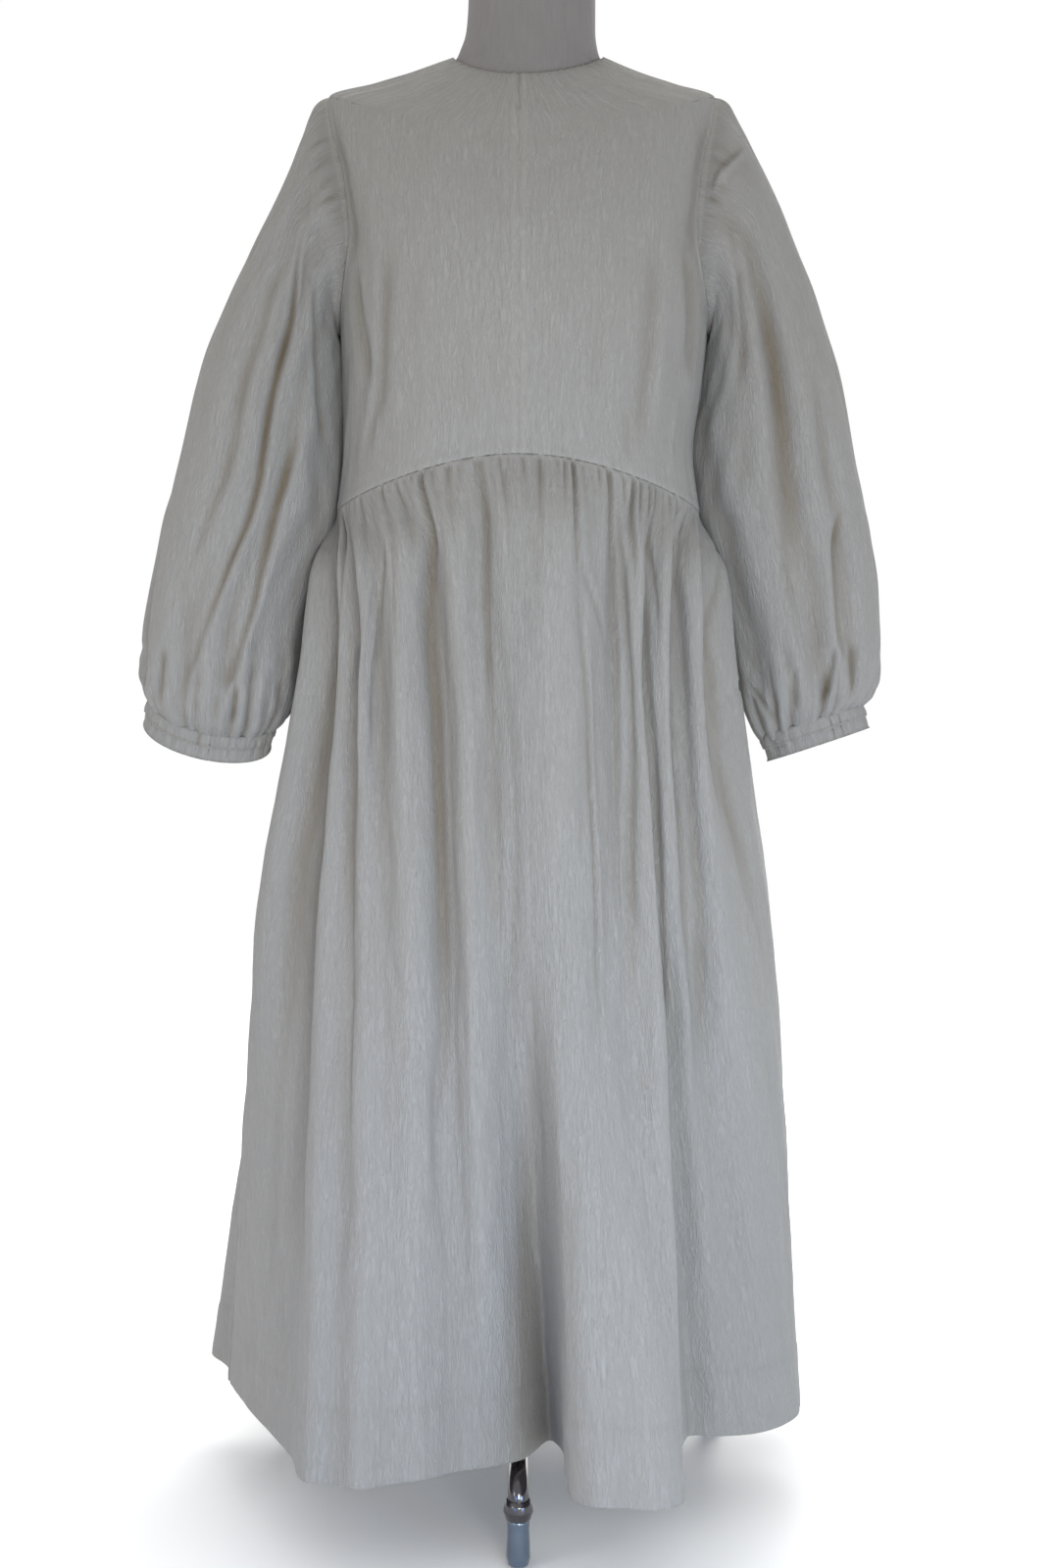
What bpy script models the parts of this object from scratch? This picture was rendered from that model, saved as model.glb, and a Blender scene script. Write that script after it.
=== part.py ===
"""A midi dress worn by a limbless dress form on a tripod stand.

Metres, +Z up. The origin is on the floor under the pole, the front of the dress faces -Y, and the
wearer's right is at -X. A turn is measured round the pole from the front: 0 is the front, 90 the side
at +X, 180 the back and -90 the side at -X.

The dress has a front bodice in two halves, a back bodice, two balloon sleeves with band cuffs, and a
skirt in two gathered panels. Every cloth piece is a closed wall between an outer surface and the same
surface moved in by the thickness of the cloth.
"""

import math

import bmesh
import bpy
import numpy as np

# The cloth's thickness, the gap at every seam, and the wider gap along the waist seam.
CLOTH = 0.0016
SEAM = 0.0003
WAIST_GAP = 0.0005
# Edges sharper than this are shaded as edges.
SHARP_ANGLE = math.radians(50)
# How much squarer than an ellipse the bodice's rings are.
SQUARENESS = 0.055

# Bodice rings from the waist seam (0) to the neckline (1), in metres.
# left and right: reach to each side. front and back: reach forwards and backwards.
# side_y: where the side lies. z_*: height at the front, side and back.
# power: how late the ring rises towards the front. ease: how far the form lies inside the cloth.
BODICE_COLUMNS = "at left right front back side_y z_front z_side z_back power ease".split()
BODICE_RINGS = [
    (0.00, 0.1657, 0.1630, 0.122, 0.096, 0.000, 0.9065, 0.8710, 0.872, 3.0, 0.0120),
    (0.12, 0.1605, 0.1570, 0.127, 0.098, 0.000, 0.9480, 0.9250, 0.925, 2.5, 0.0110),
    (0.27, 0.1605, 0.1650, 0.132, 0.103, 0.000, 1.0000, 0.9850, 0.985, 2.0, 0.0100),
    (0.42, 0.1620, 0.1710, 0.136, 0.111, 0.002, 1.0520, 1.0450, 1.045, 2.0, 0.0085),
    (0.55, 0.1640, 0.1725, 0.134, 0.117, 0.004, 1.0950, 1.1050, 1.100, 2.0, 0.0078),
    (0.67, 0.1690, 0.1750, 0.125, 0.118, 0.006, 1.1330, 1.1650, 1.155, 2.0, 0.0080),
    (0.76, 0.1745, 0.1780, 0.113, 0.112, 0.008, 1.1650, 1.2150, 1.200, 2.0, 0.0066),
    (0.82, 0.1740, 0.1785, 0.103, 0.100, 0.008, 1.1880, 1.2495, 1.232, 1.8, 0.0048),
    (0.88, 0.1320, 0.1420, 0.094, 0.086, 0.006, 1.2080, 1.2630, 1.252, 1.6, 0.0038),
    (0.94, 0.0950, 0.1070, 0.085, 0.073, 0.003, 1.2270, 1.2745, 1.270, 1.45, 0.0029),
    (1.00, 0.0600, 0.0762, 0.075, 0.062, 0.000, 1.2460, 1.2865, 1.285, 1.3, 0.0032),
]

# The armhole runs on the bodice from the underarm up to the shoulder's end.
UNDERARM_AT = 0.40
SHOULDER_AT = 0.82
ARMHOLE_FRONT = math.radians(24)
ARMHOLE_BACK = math.radians(26)
# Rows of a bodice panel below and above the armhole, and steps across a front and the back panel.
ROWS_BELOW = 4
ROWS_ABOVE = 3
BODICE_FRONT_STEPS = 9
BODICE_BACK_STEPS = 18

# Soft creases of the bodice: turn and place at both ends, width in degrees, depth in metres.
BODICE_CREASES = [
    ("left of the bust", -68, 0.36, -78, 0.14, 7, 0.0030),
    ("under the left bust", -50, 0.40, -60, 0.10, 6, 0.0026),
    ("left hollow by the armhole", -60, 0.62, -64, 0.46, 9, 0.0030),
    ("right hollow by the armhole", 60, 0.62, 64, 0.46, 9, 0.0030),
    ("under the right bust", 52, 0.40, 60, 0.12, 6, 0.0026),
    ("right waist", 42, 0.30, 46, 0.06, 5, 0.0018),
    ("left back", -140, 0.30, -148, 0.05, 8, 0.0026),
    ("right back", 142, 0.32, 150, 0.05, 8, 0.0026),
]
# Half the share of a crease's length over which it is deep.
CREASE_LENGTH = 0.45

# Skirt folds, in order round the skirt from the left side seam: turns in degrees at the waist, the
# hip, half way and the hem, then the distance from the pole at the hip, half way and the hem.
SKIRT_COLUMNS = "name waist_turn hip_turn mid_turn hem_turn hip mid hem".split()
FRONT_FOLDS = [
    ("left side seam", -92, -89, -90, -92, 0.178, 0.238, 0.266),
    ("left front edge", -86, -69, -71, -66, 0.204, 0.240, 0.246),
    ("left pleat", -78, -60, -59, -44, 0.171, 0.204, 0.267),
    ("left lobe edge", -71, -55.5, -50, -34, 0.188, 0.221, 0.302),
    ("lobe dent", -65, -51, -43, -29.5, 0.174, 0.208, 0.294),
    ("lobe crest", -60, -47, -38, -25, 0.183, 0.213, 0.295),
    ("lobe right dent", -54, -44, -33, -21.5, 0.167, 0.205, 0.277),
    ("left panel crest", -46, -36, -26, -17, 0.174, 0.205, 0.259),
    ("left centre pleat", -37, -26.6, -18, -11.8, 0.150, 0.184, 0.233),
    ("centre left crest", -27, -18, -11, -7, 0.165, 0.198, 0.222),
    ("centre dent", -15, -10, -4.5, 1, 0.149, 0.184, 0.176),
    ("centre valley", -5, -3, 1, 11, 0.156, 0.186, 0.137),
    ("centre crest", 8, 7.5, 8.5, 7.9, 0.161, 0.196, 0.286),
    ("front fold left corner", 15, 15, 13.5, 10.5, 0.163, 0.200, 0.311),
    ("recess left side", 21.5, 22.5, 18.5, 14.5, 0.154, 0.196, 0.318),
    ("recess", 28, 28, 23, 19, 0.149, 0.192, 0.330),
    ("recess right pleat", 35.5, 32.6, 27, 22.5, 0.148, 0.192, 0.325),
    ("front fold edge", 41, 37.3, 33.5, 24.5, 0.169, 0.211, 0.308),
    ("front fold step", 46.5, 40.3, 37, 44, 0.157, 0.189, 0.203),
    ("right panel crest", 54, 44.5, 41.5, 50, 0.178, 0.206, 0.223),
    ("right pleat", 62.5, 49, 46, 56, 0.160, 0.198, 0.243),
    ("right crest", 69, 55, 53, 63, 0.188, 0.222, 0.253),
    ("right dent", 76, 61, 62, 70, 0.178, 0.226, 0.257),
    ("right front edge", 85, 76, 78, 80, 0.198, 0.230, 0.253),
    ("right side seam", 95, 92, 94, 94, 0.184, 0.228, 0.250),
]
BACK_FOLDS = [
    ("right back valley", 107, 106, 106, 107, 0.178, 0.214, 0.230),
    ("right back crest", 119, 119, 119, 120, 0.182, 0.235, 0.300),
    ("right back pleat", 131, 131, 132, 134, 0.163, 0.203, 0.222),
    ("right seat crest", 143, 143, 145, 147, 0.168, 0.232, 0.318),
    ("right seat pleat", 155, 156, 158, 160, 0.148, 0.196, 0.215),
    ("centre back crest", 167, 168, 169, 171, 0.160, 0.228, 0.312),
    ("centre back pleat", 179, 180, 182, 184, 0.143, 0.190, 0.205),
    ("left seat crest", 191, 192, 195, 197, 0.160, 0.226, 0.306),
    ("left seat pleat", 203, 204, 207, 210, 0.150, 0.198, 0.222),
    ("left back crest", 216, 217, 220, 223, 0.172, 0.236, 0.316),
    ("left back pleat", 229, 229, 232, 236, 0.167, 0.215, 0.250),
    ("left hem corner", 243, 243, 246, 249, 0.184, 0.248, 0.313),
    ("left back edge", 258, 260, 262, 260, 0.184, 0.240, 0.276),
]
HEM_Z = 0.079
# How far down the skirt each ring of the table lies, and how much of the step from waist to hip is
# done by the two rings in between.
SKIRT_LEVELS = (0.0, 0.035, 0.08, 0.17, 0.5, 1.0)
SKIRT_PUFF = (0.42, 0.76)
# The gathers below the waist seam: depth, how far down they are whole, and how slowly they fade.
GATHER_DEPTH = 0.0030
GATHER_START = 0.02
GATHER_FADE = 0.075
# Grid steps between two folds of the front and of the back.
FRONT_STEPS = 4
BACK_STEPS = 6
SKIRT_ROWS = (0.0, 0.02, 0.045, 0.08, 0.13, 0.21, 0.34, 0.5, 0.74, 1.0)

# Sleeve rings from the armhole (0) to the cuff (1). outer and inner: the two ends of the ring as seen
# from the front. front and back: reach forwards and backwards of mid_y.
SLEEVE_COLUMNS = "at outer_x outer_z inner_x inner_z mid_y front back".split()
SLEEVE_LEFT = [
    (0.00, 0.1770, 1.2490, 0.1640, 1.0340, 0.006, 0.052, 0.056),
    (0.05, 0.1950, 1.2300, 0.1675, 1.0290, 0.005, 0.060, 0.062),
    (0.11, 0.2080, 1.1900, 0.1690, 1.0180, 0.003, 0.064, 0.065),
    (0.20, 0.2330, 1.1340, 0.1690, 1.0000, 0.000, 0.067, 0.068),
    (0.32, 0.2620, 1.0720, 0.1690, 0.9700, -0.003, 0.069, 0.070),
    (0.45, 0.2900, 0.9980, 0.1690, 0.9350, -0.006, 0.071, 0.072),
    (0.58, 0.3090, 0.9150, 0.1700, 0.8900, -0.009, 0.072, 0.072),
    (0.69, 0.3240, 0.8590, 0.1810, 0.8460, -0.009, 0.072, 0.072),
    (0.80, 0.3360, 0.8000, 0.1920, 0.7880, -0.011, 0.070, 0.069),
    (0.89, 0.3425, 0.7520, 0.1960, 0.7400, -0.015, 0.064, 0.062),
    (0.95, 0.3430, 0.7260, 0.2020, 0.7060, -0.017, 0.052, 0.050),
    (0.985, 0.3390, 0.7110, 0.2110, 0.6870, -0.018, 0.036, 0.036),
    (1.00, 0.3342, 0.7039, 0.2188, 0.6801, -0.018, 0.027, 0.027),
]
SLEEVE_RIGHT = [
    (0.00, 0.1800, 1.2490, 0.1730, 1.0340, 0.006, 0.052, 0.056),
    (0.05, 0.1990, 1.2330, 0.1775, 1.0290, 0.008, 0.060, 0.062),
    (0.11, 0.2180, 1.1980, 0.1780, 1.0180, 0.010, 0.064, 0.065),
    (0.20, 0.2450, 1.1400, 0.1755, 1.0000, 0.013, 0.067, 0.068),
    (0.32, 0.2720, 1.0720, 0.1740, 0.9700, 0.015, 0.069, 0.070),
    (0.45, 0.2940, 0.9980, 0.1710, 0.9350, 0.017, 0.071, 0.072),
    (0.58, 0.3110, 0.9150, 0.1700, 0.8900, 0.018, 0.072, 0.072),
    (0.69, 0.3240, 0.8590, 0.1780, 0.8460, 0.019, 0.072, 0.072),
    (0.80, 0.3320, 0.8000, 0.1890, 0.7860, 0.020, 0.070, 0.069),
    (0.89, 0.3345, 0.7520, 0.1990, 0.7330, 0.020, 0.064, 0.062),
    (0.95, 0.3320, 0.7240, 0.2070, 0.6960, 0.020, 0.052, 0.050),
    (0.985, 0.3240, 0.7080, 0.2150, 0.6760, 0.020, 0.040, 0.040),
    (1.00, 0.3153, 0.6995, 0.2205, 0.6680, 0.020, 0.034, 0.034),
]
# Long folds of a sleeve: turn round the sleeve at the cap, half way and the cuff (0 outer, 90 front,
# 180 under, 270 back), width in degrees, depth in metres at the cap, half way and the cuff.
LEFT_FOLDS = [
    ("front long fold", 104, 97, 50, 13, 0.006, 0.008, 0.007),
    ("outer soft fold", 79, 75, 58, 12, 0.003, 0.005, 0.004),
    ("inner fold", 131, 144, 128, 14, 0.005, 0.006, 0.004),
    ("lower fold", 122, 112, 92, 11, 0.000, 0.008, 0.008),
    ("outer edge fold", 12, 20, 18, 14, 0.003, 0.002, 0.007),
    ("back fold", 236, 250, 262, 13, 0.005, 0.008, 0.007),
    ("back outer fold", 285, 292, 305, 13, 0.003, 0.006, 0.006),
    ("under fold", 205, 208, 222, 14, 0.002, 0.006, 0.006),
]
RIGHT_FOLDS = [
    ("front long fold", 92, 86, 69, 14, 0.005, 0.010, 0.010),
    ("outer fold", 60, 66, 40, 10, 0.000, 0.005, 0.008),
    ("inner fold", 124, 122, 112, 13, 0.004, 0.004, 0.004),
    ("under fold", 150, 150, 140, 12, 0.002, 0.003, 0.007),
    ("outer edge fold", 20, 15, 12, 13, 0.003, 0.002, 0.006),
    ("back fold", 240, 255, 268, 13, 0.005, 0.008, 0.007),
    ("back outer fold", 288, 298, 312, 13, 0.003, 0.006, 0.006),
    ("back under fold", 206, 212, 225, 14, 0.002, 0.006, 0.006),
]
SLEEVE_GATHERS = 16
SLEEVE_GATHER_DEPTH = 0.0024
# Place and width of the gathers above the cuff and below the shoulder.
CUFF_GATHERS = (0.955, 0.035)
CAP_GATHERS = (0.03, 0.02)
# How far down the sleeve the armhole's edge still bends it.
ARMHOLE_BLEND = 0.14
# The sleeve's first ring faces as the bodice does, but not under the arm, below this cosine.
UNDERARM_COSINE = -0.85
UNDERARM_BLEND = 0.5
SLEEVE_ROWS = (0.0, 0.035, 0.08, 0.15, 0.26, 0.40, 0.55, 0.70, 0.82, 0.91, 0.965, 1.0)
CUFF_HEIGHT = 0.024
CUFF_FLARE = 0.02

# The form below the waist: height, reach to the side, to the front and to the back.
FORM_BASE = [
    (0.655, 0.152, 0.104, 0.108),
    (0.662, 0.158, 0.110, 0.114),
    (0.705, 0.166, 0.114, 0.122),
    (0.765, 0.166, 0.112, 0.121),
    (0.825, 0.158, 0.110, 0.108),
]
# The form's neck rises to the front as the neckline does, with this power of the cosine.
NECK_POWER = 1.3
# The form's neck: height at the front and at the sides, radius, middle in x and in y.
FORM_NECK = [
    (1.262, 1.2935, 0.0615, 0.0090, -0.006),
    (1.300, 1.3090, 0.0585, 0.0105, -0.005),
    (1.340, 1.3400, 0.0576, 0.0115, -0.004),
    (1.373, 1.3730, 0.0576, 0.0115, -0.004),
    (1.376, 1.3760, 0.0545, 0.0115, -0.004),
]
FORM_ROWS = (0.03, 0.12, 0.22, 0.32, 0.42, 0.52, 0.62, 0.70, 0.76, 0.79, 0.82, 0.85, 0.88, 0.94, 1.0)
FORM_SIDES = 28

# Sides of the turned parts of the stand.
POLE_SIDES = 20
HUB_SIDES = 24
FOOT_SIDES = 16
POLE_RADIUS = 0.0125
HUB_RADIUS = 0.021
HUB_BOTTOM = 0.160
HUB_TOP = 0.215
HUB_CHAMFER = 0.003
LEG_RADIUS = 0.0083
LEG_STEPS = 18
LEG_BEVEL_STEPS = 2
LEG_TURNS = (("front", 0.0), ("left", -122.0), ("right", 122.0))
# A leg's path: distance from the pole and height.
LEG_PATH = [
    (HUB_RADIUS + SEAM, 0.187), (0.040, 0.187), (0.066, 0.182), (0.102, 0.160), (0.128, 0.113),
    (0.147, 0.0755),
    (0.166, 0.0665), (0.190, 0.0655), (0.205, 0.0645), (0.2155, 0.0622), (0.2200, 0.0580),
    (0.2200, 0.0380),
]
FOOT_OUT = 0.220
# Turned profiles of a foot and its collar: radius and height.
FOOT_PROFILE = [(0.0062, 0.0), (0.0084, 0.0022), (0.0097, 0.008), (0.0094, 0.018), (0.0088, 0.030),
                (0.0092, 0.0360), (0.0086, 0.0377)]
COLLAR_PROFILE = [(0.0088, 0.0380), (0.0100, 0.0380), (0.0120, 0.0445), (0.0112, 0.0500),
                  (0.0095, 0.0535), (0.0088, 0.0535)]


def smooth(knots, values, at):
    """A table's column as a smooth curve that never swings past its own values.

    Cubic pieces between the knots; the slope at a knot is the harmonic mean of its two neighbours'
    slopes, or none where the column turns round.
    """
    knots = np.asarray(knots, float)
    values = np.asarray(values, float)
    flat = values.reshape(len(knots), -1)
    step = np.diff(knots)[:, None]
    secant = np.diff(flat, axis=0) / step
    slope = np.zeros_like(flat)
    same = secant[1:] * secant[:-1] > 0
    total = np.where(same, secant[1:] + secant[:-1], 1.0)
    slope[1:-1] = np.where(same, 2 * secant[1:] * secant[:-1] / total, 0.0)
    slope[0], slope[-1] = secant[0], secant[-1]
    at = np.asarray(at, float)
    where = np.clip(np.searchsorted(knots, at.ravel(), side="right") - 1, 0, len(knots) - 2)
    u = ((at.ravel() - knots[where]) / step[where, 0])[:, None]
    low, high = flat[where], flat[where + 1]
    rise = slope[where] * step[where]
    fall = slope[where + 1] * step[where]
    out = (low * (1 + 2 * u) * (1 - u) ** 2 + high * u ** 2 * (3 - 2 * u)
           + rise * u * (1 - u) ** 2 - fall * u ** 2 * (1 - u))
    return out.reshape(at.shape + values.shape[1:])


def columns(names, rows):
    """A table as a dictionary of its named columns."""
    return {name: [row[i] for row in rows] for i, name in enumerate(names)}


def bell(distance):
    """1 at no distance, falling softly to nothing at about two widths."""
    return np.exp(-distance ** 2)


def bodice_surface(turn, at, creased=True):
    """A point of the bodice for a turn in radians and a place between the waist (0) and the neck (1).

    A ring is an oval with its own reach to each side, to the front and to the back, a little squarer
    than an ellipse, and its height rises or falls from the side to the front and to the back.
    """
    table = columns(BODICE_COLUMNS, BODICE_RINGS)
    turn, at = np.broadcast_arrays(np.asarray(turn, float), np.asarray(at, float))
    ring = {name: smooth(table["at"], table[name], at) for name in BODICE_COLUMNS[1:]}
    s, c = np.sin(turn), np.cos(turn)
    square = 1 + SQUARENESS * (1 - at ** 4) * np.sin(2 * turn) ** 2
    x = ((ring["right"] + ring["left"]) / 2 * s + (ring["right"] - ring["left"]) / 2 * s ** 2) * square
    y = -((ring["front"] + ring["back"]) / 2 * c + (ring["front"] - ring["back"]) / 2 * c ** 2) * square
    y = y + ring["side_y"] * s ** 2
    forward, backward = np.maximum(c, 0.0), np.maximum(-c, 0.0)
    z = ring["z_side"] + (ring["z_front"] - ring["z_side"]) * forward ** ring["power"]
    z = z + (ring["z_back"] - ring["z_side"]) * backward ** ring["power"]
    point = np.stack([x, y, z], -1)
    if creased:
        inward = np.stack([-s, c, np.zeros_like(s)], -1)
        point = point + inward * bodice_crease_depth(np.degrees(turn), at)[..., None]
    return point


def bodice_crease_depth(degrees, at):
    """How deep the bodice's soft creases are: each a bell across a line, fading at both ends."""
    depth = np.zeros_like(at)
    for _, turn_top, top, turn_low, low, width, deep in BODICE_CREASES:
        along = (top - at) / (top - low)
        line = turn_top + (turn_low - turn_top) * along
        aside = (degrees - line + 180) % 360 - 180
        depth = depth + deep * bell(aside / width) * bell((along - 0.5) / CREASE_LENGTH)
    return depth


def normals_of(surface, u, v, step=2e-4):
    """Unit normals of a surface function of two parameters, by small steps each way."""
    across = surface(u + step, v) - surface(u - step, v)
    along = surface(u, np.minimum(v + step, 1.0)) - surface(u, np.maximum(v - step, 0.0))
    normal = np.cross(across, along)
    return normal / np.linalg.norm(normal, axis=-1, keepdims=True)


def armhole(side, angle):
    """Turn and place of the armhole's edge: angle 0 at the shoulder, 90 front, 180 underarm."""
    place = UNDERARM_AT + (SHOULDER_AT - UNDERARM_AT) * (1 + np.cos(angle)) / 2
    forward = np.sin(angle)
    aside = np.where(forward > 0, ARMHOLE_FRONT * forward, ARMHOLE_BACK * forward)
    return side * (math.pi / 2 - aside), place


def sleeve_surface(side, table, folds, angle, at):
    """A point of a sleeve for an angle round it in radians and a place from armhole to cuff.

    A ring is an oval between its outer and inner end. Long folds pull it inwards, and it starts
    exactly on the armhole's edge.
    """
    angle, at = np.broadcast_arrays(np.asarray(angle, float), np.asarray(at, float))
    point = sleeve_oval(side, table, folds, angle, at)
    start = sleeve_oval(side, table, folds, angle, np.zeros_like(at))
    edge = bodice_surface(*armhole(side, angle))
    near = np.clip(at / ARMHOLE_BLEND, 0, 1)
    fade = 1 - near * near * (3 - 2 * near)
    return point + (edge - start) * fade[..., None]


def sleeve_oval(side, table, folds, angle, at):
    """A sleeve's ring with its folds and gathers, before it is bent to meet the armhole's edge."""
    data = columns(SLEEVE_COLUMNS, table)
    ring = {name: smooth(data["at"], data[name], at) for name in SLEEVE_COLUMNS[1:]}
    c, s = np.cos(angle), np.sin(angle)
    reach = np.hypot(ring["outer_x"] - ring["inner_x"], ring["outer_z"] - ring["inner_z"]) / 2
    narrow = np.minimum(reach, (ring["front"] + ring["back"]) / 2)
    pull = np.zeros_like(at)
    degrees = np.degrees(angle)
    for _, cap, half, cuff, width, deep_cap, deep_half, deep_cuff in folds:
        line = smooth((0, 0.5, 1), (cap, half, cuff), at)
        deep = smooth((0, 0.08, 0.5, 0.9, 1), (0, deep_cap, deep_half, deep_cuff, 0), at)
        pull = pull + deep * bell(((degrees - line + 180) % 360 - 180) / width)
    wave = np.cos(SLEEVE_GATHERS * angle) * SLEEVE_GATHER_DEPTH
    pull = pull + wave * bell((at - CUFF_GATHERS[0]) / CUFF_GATHERS[1])
    pull = pull + wave / 2 * bell((at - CAP_GATHERS[0]) / CAP_GATHERS[1]) * (c > 0)
    scale = 1 - pull / narrow
    middle_x = (ring["outer_x"] + ring["inner_x"]) / 2
    middle_z = (ring["outer_z"] + ring["inner_z"]) / 2
    depth = np.where(s > 0, ring["front"], ring["back"])
    x = middle_x + (ring["outer_x"] - ring["inner_x"]) / 2 * c * scale
    z = middle_z + (ring["outer_z"] - ring["inner_z"]) / 2 * c * scale
    y = ring["mid_y"] - depth * s * scale
    return np.stack([side * x, y, z], -1)


def fold_points():
    """The skirt's fold lines in plan at each level of the table: levels x folds x (x, y)."""
    table = columns(SKIRT_COLUMNS, FRONT_FOLDS + BACK_FOLDS)
    waist = np.radians(np.array(table["waist_turn"], float))
    at_waist = bodice_surface(waist, np.zeros_like(waist))[:, :2]
    rings = []
    for level in ("hip", "mid", "hem"):
        turn = np.radians(np.array(table[level + "_turn"], float))
        reach = np.array(table[level])
        rings.append(np.stack([reach * np.sin(turn), -reach * np.cos(turn)], -1))
    between = [at_waist + (rings[0] - at_waist) * part for part in SKIRT_PUFF]
    return np.stack([at_waist, *between, *rings]), waist


def round_curve(points, fold):
    """Closed curves through each level's fold points, read at fold numbers such as 3.25.

    Cubic pieces: at each point the curve runs along the line between its neighbours, as fast as the
    piece is long, so a curve never swings past a close pair of points.
    """
    count = points.shape[1]
    low = np.floor(fold).astype(int)
    u = (fold - low)[None, :, None]
    low = low % count
    high = (low + 1) % count
    heading = np.roll(points, -1, axis=1) - np.roll(points, 1, axis=1)
    heading = heading / np.linalg.norm(heading, axis=-1, keepdims=True)
    length = np.linalg.norm(points[:, high] - points[:, low], axis=-1, keepdims=True)
    return (points[:, low] * (1 + 2 * u) * (1 - u) ** 2 + points[:, high] * u ** 2 * (3 - 2 * u)
            + heading[:, low] * length * u * (1 - u) ** 2 - heading[:, high] * length * u ** 2 * (1 - u))


def skirt_surface(fold, down):
    """The skirt's outer surface on a grid: fold numbers round it, and how far down it is (0 to 1)."""
    points, waist = fold_points()
    plan = round_curve(points, fold)
    xy = smooth(SKIRT_LEVELS, plan, down)
    turn = np.interp(fold, np.arange(len(waist) + 1), np.append(waist, waist[0] + 2 * math.pi))
    top = bodice_surface(turn, np.zeros_like(turn))
    first = SKIRT_LEVELS[1]
    rounded = smooth((0, first), (0, 1), np.minimum(down, first))[:, None, None]
    xy = top[None, :, :2] * (1 - rounded) + xy * rounded
    z = (top[:, 2] - WAIST_GAP)[None] * (1 - down[:, None]) + HEM_Z * down[:, None]
    return np.concatenate([xy, z[..., None]], -1)


def grid_normals(grid, closed):
    """Unit normals of a grid of points, rows down and columns round."""
    if closed:
        across = np.roll(grid, -1, axis=1) - np.roll(grid, 1, axis=1)
    else:
        across = np.gradient(grid, axis=1)
    along = np.gradient(grid, axis=0)
    normal = np.cross(across, along)
    return normal / np.linalg.norm(normal, axis=-1, keepdims=True)


def pull_edges(grid, left, right, first, last):
    """Moves the chosen edges of a panel in by half a seam's gap."""
    out = grid.copy()
    edges = ((left, np.s_[:, 0], np.s_[:, 1]), (right, np.s_[:, -1], np.s_[:, -2]),
             (first, np.s_[0], np.s_[1]), (last, np.s_[-1], np.s_[-2]))
    for wanted, edge, next_in in edges:
        if wanted:
            way = grid[next_in] - grid[edge]
            out[edge] += way / np.linalg.norm(way, axis=-1, keepdims=True) * SEAM / 2
    return out


def new_object(name, vertices, faces, material):
    """A new object of the scene from its points and faces, facing outwards."""
    mesh = bpy.data.meshes.new(name)
    mesh.from_pydata([tuple(v) for v in vertices], [], faces)
    body = bmesh.new()
    body.from_mesh(mesh)
    bmesh.ops.recalc_face_normals(body, faces=body.faces)
    body.to_mesh(mesh)
    body.free()
    mesh.shade_smooth()
    mesh.set_sharp_from_angle(angle=SHARP_ANGLE)
    mesh.materials.append(material)
    made = bpy.data.objects.new(name, mesh)
    bpy.context.scene.collection.objects.link(made)
    return made


def cloth(name, outer, normals, material, closed=False):
    """A closed wall: the outer grid, the same grid moved in by the cloth's thickness, and its rims."""
    rows, across = outer.shape[:2]
    inner = outer - normals * CLOTH
    vertices = np.concatenate([outer.reshape(-1, 3), inner.reshape(-1, 3)])
    offset = rows * across
    last = across if closed else across - 1
    faces = []
    for r in range(rows - 1):
        for c in range(last):
            a, b = r * across + c, r * across + (c + 1) % across
            d, e = a + across, b + across
            faces.append((a, b, e, d))
            faces.append((offset + a, offset + d, offset + e, offset + b))
    for r in (0, rows - 1):
        for c in range(last):
            a, b = r * across + c, r * across + (c + 1) % across
            faces.append((a, b, offset + b, offset + a))
    if not closed:
        for c in (0, across - 1):
            for r in range(rows - 1):
                a, b = r * across + c, (r + 1) * across + c
                faces.append((a, b, offset + b, offset + a))
    return new_object(name, vertices, faces, material)


def bodice_panel(name, start, end, steps, material):
    """A bodice panel between two edges, each a function from places to turns.

    Its rows beside the armhole lie where the points of the sleeve's first ring are.
    """
    below = np.linspace(0, UNDERARM_AT, ROWS_BELOW + 1)
    angle = np.linspace(math.pi, 0, SLEEVE_GATHERS // 2 + 1)
    beside = UNDERARM_AT + (SHOULDER_AT - UNDERARM_AT) * (1 + np.cos(angle)) / 2
    above = np.linspace(SHOULDER_AT, 1, ROWS_ABOVE + 1)
    place = np.concatenate([below, beside[1:], above[1:]])
    first, second = start(place), end(place)
    share = np.linspace(0, 1, steps + 1)
    turn = first[:, None] + (second - first)[:, None] * share[None]
    at = np.repeat(place[:, None], steps + 1, axis=1)
    grid = pull_edges(bodice_surface(turn, at), True, True, False, False)
    normal = normals_of(bodice_surface, turn, at)
    outward = np.stack([np.sin(turn), -np.cos(turn), np.zeros_like(turn)], -1)
    facing = np.sign((normal * outward).sum(-1, keepdims=True))
    cloth(name, grid, normal * facing, material)


def armhole_turn(side, place, sign):
    """The turn of the armhole's edge at a place, or the side itself above and below the armhole."""
    height = np.clip((place - UNDERARM_AT) / (SHOULDER_AT - UNDERARM_AT), 0, 1)
    forward = np.sqrt(np.clip(1 - (2 * height - 1) ** 2, 0, 1))
    reach = ARMHOLE_FRONT if sign > 0 else -ARMHOLE_BACK
    return side * (math.pi / 2 - reach * forward)


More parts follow.
